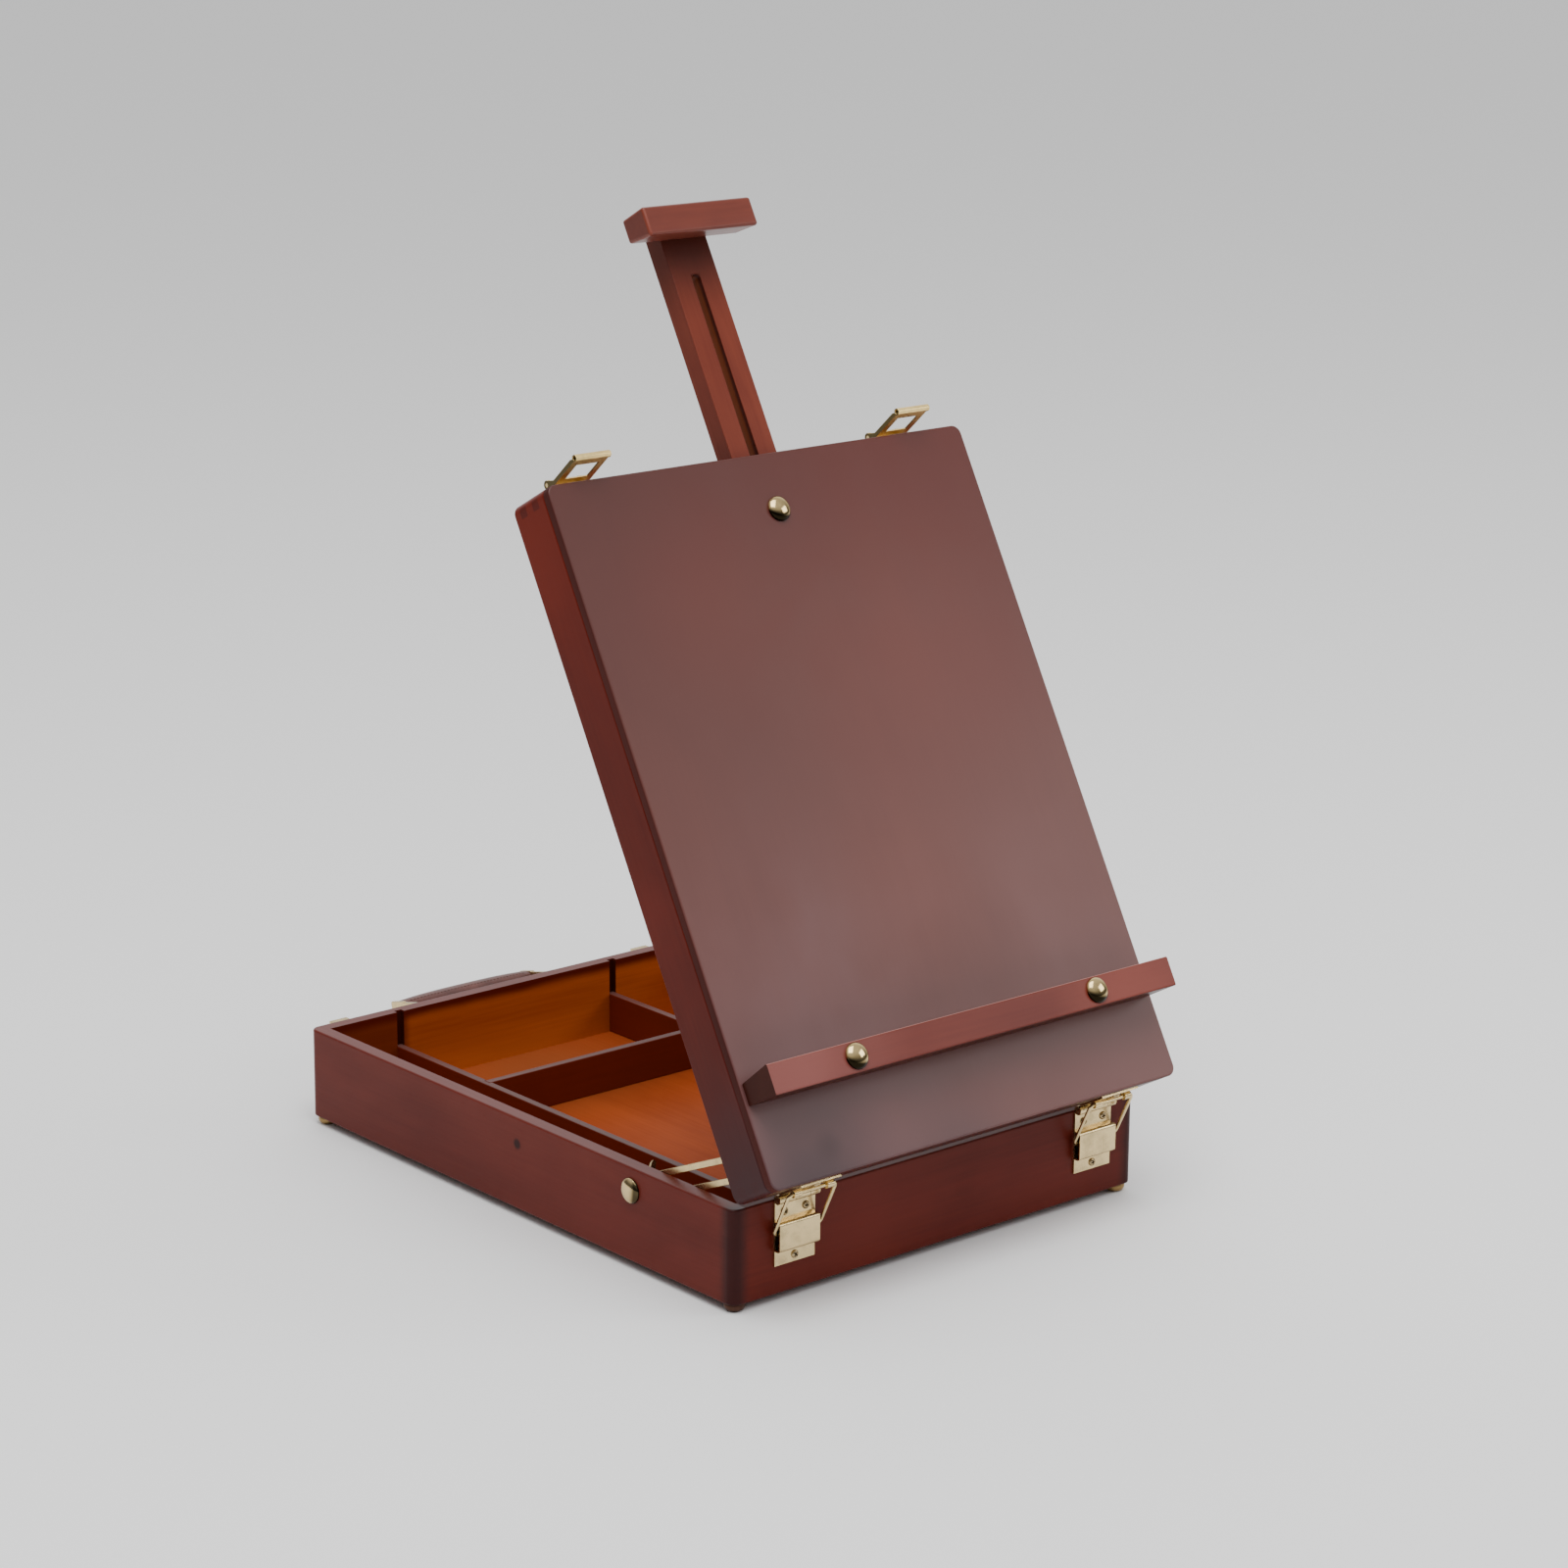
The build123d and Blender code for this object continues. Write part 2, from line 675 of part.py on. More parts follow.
for side_name, centre in hasp_centres.items():
    pivot_plane = on_lid_side(centre, pivot_along, hasp_pivot_out)

    with BuildPart() as hasp_plate:
        with BuildSketch(on_lid_top(centre, hasp_plate_low + hasp_plate_height / 2)):
            Rectangle(2 * ear_outer, hasp_plate_height)
        extrude(amount=hasp_sheet)
        for side in (1, -1):
            with BuildSketch(pivot_plane.offset(side * (ear_outer - hasp_sheet / 2))):
                Circle(hasp_ear_radius)
                with Locations((-hasp_pivot_rise / 2, 0)):
                    Rectangle(hasp_pivot_rise, 2 * hasp_ear_radius)
            extrude(amount=hasp_sheet / 2, both=True)
        add(hasp_pins.part, mode=Mode.SUBTRACT)
        add(hasp_screws.part, mode=Mode.SUBTRACT)
    save(hasp_plate, f"hasp_plate_{side_name}")

    # lever directions: run goes from the pivot to the rolled end, and lift to the flanges' side
    swing = math.radians(180 - hasp_open)
    run = lid_out * math.cos(swing) + lid_along * math.sin(swing)
    lift = lid_along * math.cos(swing) - lid_out * math.sin(swing)
    lever_side = Plane(origin=lid_point(centre, pivot_along, hasp_pivot_out), x_dir=run,
                       z_dir=run.cross(lift))
    plate_floor = -hasp_plate_shift
    flange_top = plate_floor + hasp_flange
    lever_flat = Plane(origin=lever_side.origin + lift * plate_floor, x_dir=lever_side.z_dir,
                       z_dir=-lift)
    with BuildPart() as hasp_lever:
        for side in (1, -1):
            with BuildSketch(lever_side.offset(side * (hasp_width / 2 - hasp_sheet / 2))):
                with BuildLine():
                    Polyline((-hasp_heel, plate_floor), (hasp_reach, plate_floor),
                             (hasp_reach, plate_floor + hasp_sheet), (hasp_flange_end, flange_top),
                             (hasp_ear_foot, flange_top), (hasp_heel, hasp_heel),
                             (-hasp_heel, hasp_heel), (-hasp_heel, plate_floor))
                make_face()
                Circle(hasp_ear_radius)
            extrude(amount=hasp_sheet / 2, both=True)
        with BuildSketch(Plane(origin=lever_side.origin + lift * plate_floor, x_dir=run,
                               z_dir=lift)):
            with Locations(((hasp_reach + hasp_plate_start) / 2, 0)):
                Rectangle(hasp_reach - hasp_plate_start, hasp_width)
            with Locations(((hasp_window_start + hasp_window_end) / 2, 0)):
                Rectangle(hasp_window_end - hasp_window_start, hasp_window_width,
                          mode=Mode.SUBTRACT)
        extrude(amount=hasp_sheet)
        with BuildSketch(Plane(origin=lever_side.origin + run * hasp_reach + lift * (
                plate_floor + hasp_tube_lift), x_dir=run, z_dir=lever_side.z_dir)):
            Circle(hasp_tube_radius)
        extrude(amount=hasp_width / 2, both=True)
        with BuildSketch(Plane(origin=lever_side.origin + run * hasp_reach + lift * (
                plate_floor + hasp_tube_lift), x_dir=run, z_dir=lever_side.z_dir)):
            Circle(hasp_tube_bore)
        extrude(amount=hasp_width, both=True, mode=Mode.SUBTRACT)
        with BuildSketch(lever_side):
            Circle(hasp_pin_radius + pin_play)
        extrude(amount=hasp_width, both=True, mode=Mode.SUBTRACT)
    save(hasp_lever, f"hasp_lever_{side_name}")

keeper_seats = [on_rear(centre, rim_z - keeper_drop - drop).offset(keeper_thickness)
                for centre in hasp_centres.values() for drop in keeper_screws_down]
bracket_seats = [on_rear(handle_centre + side * fitting_shift, handle_pivot_z - down).offset(
    bracket_thickness) for side in sides.values() for down in bracket_screws_down]
rear_screws = screws(keeper_seats + bracket_seats)
save(rear_screws, "rear_screws")
for side_name, centre in hasp_centres.items():
    with BuildPart() as keeper:
        with BuildSketch(on_rear(centre, rim_z - keeper_drop - keeper_height / 2)):
            Rectangle(keeper_width, keeper_height)
        extrude(amount=keeper_thickness)
        with BuildSketch(on_rear(centre, rim_z - keeper_drop - keeper_thickness / 2)):
            Rectangle(keeper_width, keeper_thickness)
        extrude(amount=keeper_hook)
        with BuildSketch(on_rear(centre, rim_z - keeper_drop - keeper_lip / 2).offset(
                keeper_hook - keeper_thickness)):
            Rectangle(keeper_width, keeper_lip)
        extrude(amount=keeper_thickness)
        add(rear_screws.part, mode=Mode.SUBTRACT)
    save(keeper, f"latch_keeper_{side_name}")

# ---- carrying handle ---------------------------------------------------------------------------
lift_angle = math.radians(handle_lift)
reach_dir = Vector(0, math.cos(lift_angle), math.sin(lift_angle))
handle_pivot = Vector(handle_centre, rear_y + handle_pivot_out, handle_pivot_z)
grip_middle = handle_pivot + reach_dir * handle_reach
grip_plane = Plane(origin=grip_middle, x_dir=reach_dir, z_dir=across)


def link_plane(x):
    """Plane across the handle at its pivots: local x runs out to the grip and local y up."""
    return Plane(origin=handle_pivot + across * x, x_dir=reach_dir, z_dir=across)


with BuildPart() as cap_studs:
    with BuildSketch(grip_plane):
        Circle(cap_stud_radius)
    extrude(amount=fitting_shift, both=True)
    with BuildSketch(grip_plane):
        Circle(cap_stud_radius)
    extrude(amount=fitting_shift - link_thickness / 2 - cap_stud_length, both=True,
            mode=Mode.SUBTRACT)

with BuildPart() as handle_grip:
    with BuildSketch(grip_plane):
        RectangleRounded(grip_width, grip_thickness, grip_round)
    extrude(amount=handle_span / 2 - link_thickness, both=True)
    add(cap_studs.part, mode=Mode.SUBTRACT)
save(handle_grip, "handle_grip")

for side_name, side in sides.items():
    fitting_x = side * fitting_shift
    inner_x = side * (fitting_shift - link_thickness / 2 - cap_stud_length / 2)
    with BuildPart() as fitting:
        with BuildSketch(grip_plane.offset(fitting_x)):
            RectangleRounded(grip_width - 2 * cap_border, grip_thickness - 2 * cap_border,
                             grip_round - cap_border)
        extrude(amount=link_thickness / 2, both=True)
        with BuildSketch(link_plane(fitting_x)):
            Circle(link_eye)
            with Locations((handle_reach / 2, 0)):
                Rectangle(handle_reach, link_width)
        extrude(amount=link_thickness / 2, both=True)
        with BuildSketch(grip_plane.offset(inner_x)):
            Circle(cap_stud_radius)
        extrude(amount=cap_stud_length / 2, both=True)
        with BuildSketch(link_plane(fitting_x)):
            Circle(handle_pin_radius + pin_play)
        extrude(amount=link_thickness, both=True, mode=Mode.SUBTRACT)
    save(fitting, f"handle_fitting_{side_name}")

ear_shift = link_thickness / 2 + ear_gap + ear_thickness / 2
pin_planes = {name: Plane(origin=handle_pivot + across * (side * fitting_shift), x_dir=(0, 1, 0),
                          z_dir=across) for name, side in sides.items()}
with BuildPart() as handle_pins:
    for pin_plane in pin_planes.values():
        with BuildSketch(pin_plane):
            Circle(handle_pin_radius)
        extrude(amount=ear_shift + ear_thickness / 2 + pin_end, both=True)
save(handle_pins, "handle_pins")
for side_name, side in sides.items():
    fitting_x = side * fitting_shift
    pin_plane = pin_planes[side_name]
    with BuildPart() as bracket:
        with BuildSketch(on_rear(handle_centre + fitting_x,
                                 handle_pivot_z + ear_radius - bracket_height / 2)):
            Rectangle(bracket_width, bracket_height)
        extrude(amount=bracket_thickness)
        for shift in (ear_shift, -ear_shift):
            with BuildSketch(pin_plane.offset(shift)):
                Circle(ear_radius)
                with Locations((-handle_pivot_out / 2, 0)):
                    Rectangle(handle_pivot_out, 2 * ear_radius)
            extrude(amount=ear_thickness / 2, both=True)
        add(handle_pins.part, mode=Mode.SUBTRACT)
        add(rear_screws.part, mode=Mode.SUBTRACT)
    save(bracket, f"handle_bracket_{side_name}")

# ---- floor and dividers ---------------------------------------------------------------------------
floor_reach = 2 * (groove_depth - groove_play)
with BuildPart() as tray_floor:
    with BuildSketch(Plane.XY.offset(floor_z)) as floor_sketch:
        Rectangle(inner_width + floor_reach, inner_length + floor_reach)
        chamfer(floor_sketch.vertices(), floor_corner)
    extrude(amount=floor_thickness)
save(tray_floor, "tray_floor")

with BuildPart() as floor_groove:
    with BuildSketch(Plane.XY.offset(floor_z)):
        Rectangle(inner_width + 2 * groove_depth, inner_length + 2 * groove_depth)
    extrude(amount=floor_thickness)


def dado(x, y, width, length, top):
    """The slot that a divider's end stands in, open at the rim."""
    with BuildPart() as slot:
        with BuildSketch(Plane.XY.offset(floor_top)):
            with Locations((x, y)):
                Rectangle(width, length)
        extrude(amount=top - floor_top)
    return slot.part


slot_width = divider_thickness + 2 * dado_play
long_reach = inner_length + 2 * dado_depth
cross_start = long_divider_x + divider_thickness / 2 - cross_dado_depth
cross_end = inner_width / 2 + dado_depth
rear_start = cross_divider_y + divider_thickness / 2 - cross_dado_depth
rear_end = inner_length / 2 + dado_depth
long_dado = dado(long_divider_x, 0, slot_width, long_reach, rim_z)
cross_dado = dado((cross_start + cross_end) / 2, cross_divider_y, cross_end - cross_start,
                  slot_width, rim_z)
rear_dado = dado(rear_divider_x, (rear_start + rear_end) / 2, slot_width, rear_end - rear_start,
                 rim_z)


def divider(x, y, width, length, cuts):
    with BuildPart() as board:
        with BuildSketch(Plane.XY.offset(floor_top)):
            with Locations((x, y)):
                Rectangle(width, length)
        extrude(amount=divider_top - floor_top)
        for cut in cuts:
            add(cut, mode=Mode.SUBTRACT)
    return board


long_divider = divider(long_divider_x, 0, divider_thickness, long_reach - 2 * dado_play,
                       [cross_dado])
cross_divider = divider((cross_start + cross_end) / 2, cross_divider_y,
                        cross_end - cross_start - 2 * dado_play, divider_thickness, [rear_dado])
rear_divider = divider(rear_divider_x, (rear_start + rear_end) / 2, divider_thickness,
                       rear_end - rear_start - 2 * dado_play, [])
save(long_divider, "divider_long")
save(cross_divider, "divider_cross")
save(rear_divider, "divider_rear")

# ---- tray walls -------------------------------------------------------------------------------------
wall_cuts = {
    "left": [floor_groove.part, stay_bolts.part],
    "right": [floor_groove.part, stay_bolts.part, cross_dado],
    "front": [floor_groove.part, long_dado, tray_hinge_screws.part],
    "rear": [floor_groove.part, long_dado, rear_dado, rear_screws.part],
}
foot_nails = list(foot_cuts.values())
spots = {"left": (-1, 0), "right": (1, 0), "front": (0, -1), "rear": (0, 1)}
for name, spot in spots.items():
    tray_wall = jointed_wall(tray_ring, tray_plane, tray_height, tray_fingers, spot,
                             wall_cuts[name] + foot_nails)
    save(tray_wall, f"tray_wall_{name}")

# ---- lid rails and panel ------------------------------------------------------------------------------
with BuildPart() as mast_notch:
    with BuildSketch(on_board(0, lid_far - wall / 2, mast_back - mast_play)):
        Rectangle(mast_width + 2 * mast_play, wall + 2)
    extrude(amount=panel_back - mast_back + mast_play)

rail_cuts = {
    "left": [stay_screws.part],
    "right": [stay_screws.part],
    "front": [lid_hinge_screws.part],
    "rear": [mast_notch.part, hasp_screws.part],
}
rail_names = {"left": "lid_rail_left", "right": "lid_rail_right", "front": "lid_rail_hinge",
              "rear": "lid_rail_top"}
for name, spot in spots.items():
    rail = jointed_wall(rail_ring, rail_plane, rail_depth, rail_fingers, spot, rail_cuts[name])
    save(rail, rail_names[name])

with BuildPart() as lid_panel:
    with BuildSketch(on_board(0, lid_middle, panel_back)):
        RectangleRounded(box_width, box_length, corner_radius)
    extrude(amount=panel_thickness)
    fillet(lid_panel.faces().sort_by(Axis(lid_point(0, 0, 0), lid_out))[-1].edges(),
           radius=edge_round)
    add(mast_bolt.part, mode=Mode.SUBTRACT)
    add(ledge_bolts.part, mode=Mode.SUBTRACT)
    add(lid_hinge_screws.part, mode=Mode.SUBTRACT)
save(lid_panel, "lid_panel")
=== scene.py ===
"""Looks of the tabletop sketch-box easel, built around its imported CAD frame."""
import json
import math
import random

import bmesh
import bpy
from mathutils import Matrix, Vector


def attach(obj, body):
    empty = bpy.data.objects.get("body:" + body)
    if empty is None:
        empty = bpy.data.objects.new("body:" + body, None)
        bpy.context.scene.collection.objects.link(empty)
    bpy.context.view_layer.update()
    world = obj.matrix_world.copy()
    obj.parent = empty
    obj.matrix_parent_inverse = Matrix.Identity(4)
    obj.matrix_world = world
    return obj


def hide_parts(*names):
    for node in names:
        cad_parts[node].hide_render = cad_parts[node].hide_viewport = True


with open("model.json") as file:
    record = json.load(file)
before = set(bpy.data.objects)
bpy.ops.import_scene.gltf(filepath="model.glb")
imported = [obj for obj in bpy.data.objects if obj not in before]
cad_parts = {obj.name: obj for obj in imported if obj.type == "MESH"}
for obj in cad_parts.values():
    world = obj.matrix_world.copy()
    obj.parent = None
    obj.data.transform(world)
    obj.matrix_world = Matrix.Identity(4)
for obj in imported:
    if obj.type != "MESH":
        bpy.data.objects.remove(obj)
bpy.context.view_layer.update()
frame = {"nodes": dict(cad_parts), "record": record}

# ---- the lid's own directions, in metres ---------------------------------------------------
LID_OPEN = math.radians(61)
ACROSS = Vector((1, 0, 0))
UP = Vector((0, 0, 1))
LENGTH = Vector((0, 1, 0))
BOARD_UP = Vector((0, math.cos(LID_OPEN), math.sin(LID_OPEN)))
BOARD_OUT = Vector((0, -math.sin(LID_OPEN), math.cos(LID_OPEN)))
HINGE = Vector((0, -0.18535, 0.054))
HALF_WIDTH = 0.135


def on_lid(across, up, out):
    """A point so far across the lid from its middle, up it from the hinge and out of it."""
    return HINGE + ACROSS * across + BOARD_UP * up + BOARD_OUT * out


# ---- camera --------------------------------------------------------------------------------
IMAGE_SIZE = 1600
FOCAL_PIXELS = 4241.4
CAMERA_AZIMUTH = math.radians(-40.689)
CAMERA_ELEVATION = math.radians(15.123)
CAMERA_ROLL = math.radians(0.495)
CAMERA_DISTANCE = 2.202068
CAMERA_SHIFT = (0.035726, 0.192713)
LOOK_OFFSET = Vector((0, -0.00535, 0.0045))
SENSOR_WIDTH = 36.0


def make_camera():
    """The camera, turned about the object, rolled and shifted sideways and up."""
    back = Vector((math.sin(CAMERA_AZIMUTH) * math.cos(CAMERA_ELEVATION),
                   -math.cos(CAMERA_AZIMUTH) * math.cos(CAMERA_ELEVATION),
                   math.sin(CAMERA_ELEVATION)))
    right = (-back).cross(UP).normalized()
    top = right.cross(-back)
    turned_right = right * math.cos(CAMERA_ROLL) + top * math.sin(CAMERA_ROLL)
    turned_top = top * math.cos(CAMERA_ROLL) - right * math.sin(CAMERA_ROLL)
    place = back * CAMERA_DISTANCE + right * CAMERA_SHIFT[0] + top * CAMERA_SHIFT[1]
    data = bpy.data.cameras.new("camera")
    data.sensor_width = SENSOR_WIDTH
    data.lens = FOCAL_PIXELS / IMAGE_SIZE * SENSOR_WIDTH
    data.clip_end = 20
    camera = bpy.data.objects.new("camera", data)
    turn = Matrix((turned_right, turned_top, back)).transposed().to_4x4()
    camera.matrix_world = Matrix.Translation(place + LOOK_OFFSET) @ turn
    bpy.context.collection.objects.link(camera)
    bpy.context.scene.camera = camera


make_camera()


# ---- node trees ----------------------------------------------------------------------------
class Value:
    """A node's output socket that Python arithmetic works on."""

    def __init__(self, tree, socket):
        self.tree = tree
        self.socket = socket

    def maths(self, operation, *values):
        return self.tree.node("ShaderNodeMath", {"operation": operation}, dict(enumerate(values)))

    def __add__(self, other):
        return self.maths("ADD", self, other)

    def __sub__(self, other):
        return self.maths("SUBTRACT", self, other)

    def __rsub__(self, other):
        return self.maths("SUBTRACT", other, self)

    def __mul__(self, other):
        return self.maths("MULTIPLY", self, other)

    def __abs__(self):
        return self.maths("ABSOLUTE", self)

    def rising(self, low, high):
        """0 up to low, 1 from high on, smooth between."""
        return self.tree.node("ShaderNodeMapRange", {"interpolation_type": "SMOOTHSTEP"},
                              {"Value": self, "From Min": low, "From Max": high})


class Tree:
    """A node tree, made one expression at a time."""

    def __init__(self, group):
        self.nodes = group.nodes
        self.links = group.links

    def connect(self, socket, value):
        if isinstance(value, Value):
            self.links.new(value.socket, socket)
        elif isinstance(value, Vector):
            socket.default_value = tuple(value)
        else:
            socket.default_value = value

    def node(self, kind, settings=None, inputs=None, out=0):
        made = self.nodes.new(kind)
        for key, value in (settings or {}).items():
            setattr(made, key, value)
        for key, value in (inputs or {}).items():
            self.connect(made.inputs[key], value)
        return Value(self, made.outputs[out])

    def joined(self, x, y, z):
        return self.node("ShaderNodeCombineXYZ", None, {0: x, 1: y, 2: z})

    def along(self, vector, direction):
        return self.node("ShaderNodeVectorMath", {"operation": "DOT_PRODUCT"},
                         {0: vector, 1: direction}, out="Value")


class Shader(Tree):
    """A surface material."""

    def __init__(self, name):
        self.material = bpy.data.materials.new(name)
        self.material.use_nodes = True
        super().__init__(self.material.node_tree)
        self.surface = self.nodes["Principled BSDF"]

    def place(self):
        return self.node("ShaderNodeTexCoord", out="Object")

    def facing(self):
        return self.node("ShaderNodeTexCoord", out="Normal")

    def face_value(self, name):
        return self.node("ShaderNodeAttribute", {"attribute_name": name}, out="Fac")

    def mix(self, first, second, factor):
        return self.node("ShaderNodeMix", {"data_type": "RGBA"},
                         {0: factor, 6: first, 7: second}, out=2)

    def distance(self, vector, spot):
        return self.node("ShaderNodeVectorMath", {"operation": "DISTANCE"},
                         {0: vector, 1: spot}, out="Value")

    def noise(self, place, scale, detail, roughness, distortion=0.0):
        return self.node("ShaderNodeTexNoise", None,
                         {"Vector": place, "Scale": scale, "Detail": detail,
                          "Roughness": roughness, "Distortion": distortion})

    def bump(self, height, strength, distance):
        return self.node("ShaderNodeBump", None,
                         {"Strength": strength, "Distance": distance, "Height": height})

    def finish(self, **sockets):
        for name, value in sockets.items():
            self.connect(self.surface.inputs[name.replace("_", " ")], value)
        return self.material


def screen(red, green, blue):
    """A colour given as it looks on a screen, 0 to 255, turned into linear light."""
    def linear(part):
        part /= 255
        return part / 12.92 if part <= 0.04045 else ((part + 0.055) / 1.055) ** 2.4
    return (linear(red), linear(green), linear(blue), 1.0)


def shaded(shade, amount):
    """A colour made darker, or lighter when amount is over 1."""
    return tuple(part * amount for part in shade[:3]) + (1.0,)


# ---- wood ----------------------------------------------------------------------------------
# each noise is scale, detail, roughness and distortion; the smaller the number after it is, the
# longer its streaks run along the fibres
FIGURE, FIGURE_STRETCH = (26, 4, 0.55, 0.8), 0.16
LINES, LINE_STRETCH = (520, 3, 0.6), 0.03
PORES, PORE_STRETCH = (1700, 2, 0.5), 0.10
SMEARS = (11, 3, 0.55, 0.3)
PATTERN_STEP = 0.731
FIGURED = (0.35, 0.75)
COAT_IOR = 1.38
MARK_SHADE = 0.30
# the painted shade and the painted highlight on eased edges, the end grain's own darkness, and
# the darker grain on the sides left unlit
EDGE_SHADE = 0.55
EDGE_HIGHLIGHT_SHADE = 1.5
END_SHADE = 0.80
UNLIT_SIDES_DARK_GRAIN = 0.7
CORNER_STAIN = screen(44, 19, 19)
CORNER_STAIN_REACH = (0.0012, 0.0100)

# where the shaders find the tray's and the mast's inner faces, in metres; HAIR is half the
# width of a sharp border between two colours
HINGE_CORNER = Vector((HALF_WIDTH, -0.18285, 0))
HAIR = 0.0001
FACE_MARGIN = 0.0003
GROOVE_MARGIN = 0.0034
GROOVE_TOP = 0.0528
INNER_HALF_WIDTH = 0.127
INNER_LENGTH = (-0.17485, 0.16415)
NARROW_COMPARTMENT_EDGE = -0.0765
LOW_PART = (0.005, 0.036)
RIM_STAIN_HEIGHT = (0.0500, 0.0560)
MAST_FACE = BOARD_OUT.dot(HINGE) + 0.0272
MAST_SLOT_HALF = 0.00305
MAST_SLOT_TOP = BOARD_UP.dot(HINGE) + 0.4567
MOUTH_DARK_DEPTH = (0.002, 0.0045)
pattern_shifts = iter(range(1, 200))


def within_box(shader, place, margin):
    """1 in the upright shaft of the compartments widened by margin, 0 outside it."""
    near, far = INNER_LENGTH
    x = shader.along(place, ACROSS)
    y = shader.along(place, LENGTH)
    within_x = (INNER_HALF_WIDTH + margin - abs(x)).rising(-HAIR, HAIR)
    within_y = (y - (near - margin)).rising(-HAIR, HAIR)
    return within_x * within_y * (far + margin - y).rising(-HAIR, HAIR)


def tray_insides(shader, place, base, inner, figure, smears):
    """Bare wood on the compartment faces, stained near the rim, with painted shade in the divider
    grooves and the narrow compartment and painted light low on the walls.
    """
    light, dark, rim_stain, groove_shade, narrow_shade, low_light = inner
    height = shader.along(place, UP)
    lit = shader.mix(light, dark, figure.rising(*FIGURED))
    # painted light: lighter low on the walls
    lit = shader.mix(low_light, lit, (height - smears * 0.01).rising(*LOW_PART) * 0.6 + 0.4)
    stained = (height + smears * 0.008).rising(*RIM_STAIN_HEIGHT)
    # painted shade in the divider grooves
    grooves = within_box(shader, place, GROOVE_MARGIN) * (GROOVE_TOP - height).rising(0, 2 * HAIR)
    base = shader.mix(base, groove_shade, grooves)
    # painted shade in the narrow compartment
    narrow = (NARROW_COMPARTMENT_EDGE - shader.along(place, ACROSS)).rising(-0.003, 0.003)
    lit = shader.mix(lit, narrow_shade, narrow * 0.75)
    return shader.mix(base, shader.mix(lit, rim_stain, stained),
                      within_box(shader, place, FACE_MARGIN))


def slot_insides(shader, place, base, inner, figure, smears):
    """Bare wood deep in the mast's slot, darker near its mouth."""
    light, dark, mouth_dark = inner
    depth = MAST_FACE - shader.along(place, BOARD_OUT) + smears * 0.001
    below = (MAST_SLOT_TOP - shader.along(place, BOARD_UP)).rising(0, HAIR)
    lit = shader.mix(light, dark, figure.rising(*FIGURED))
    walls = (MAST_SLOT_HALF - abs(shader.along(place, ACROSS))).rising(0, HAIR)
    return shader.mix(base, shader.mix(mouth_dark, lit, depth.rising(*MOUTH_DARK_DEPTH)),
                      walls * below)


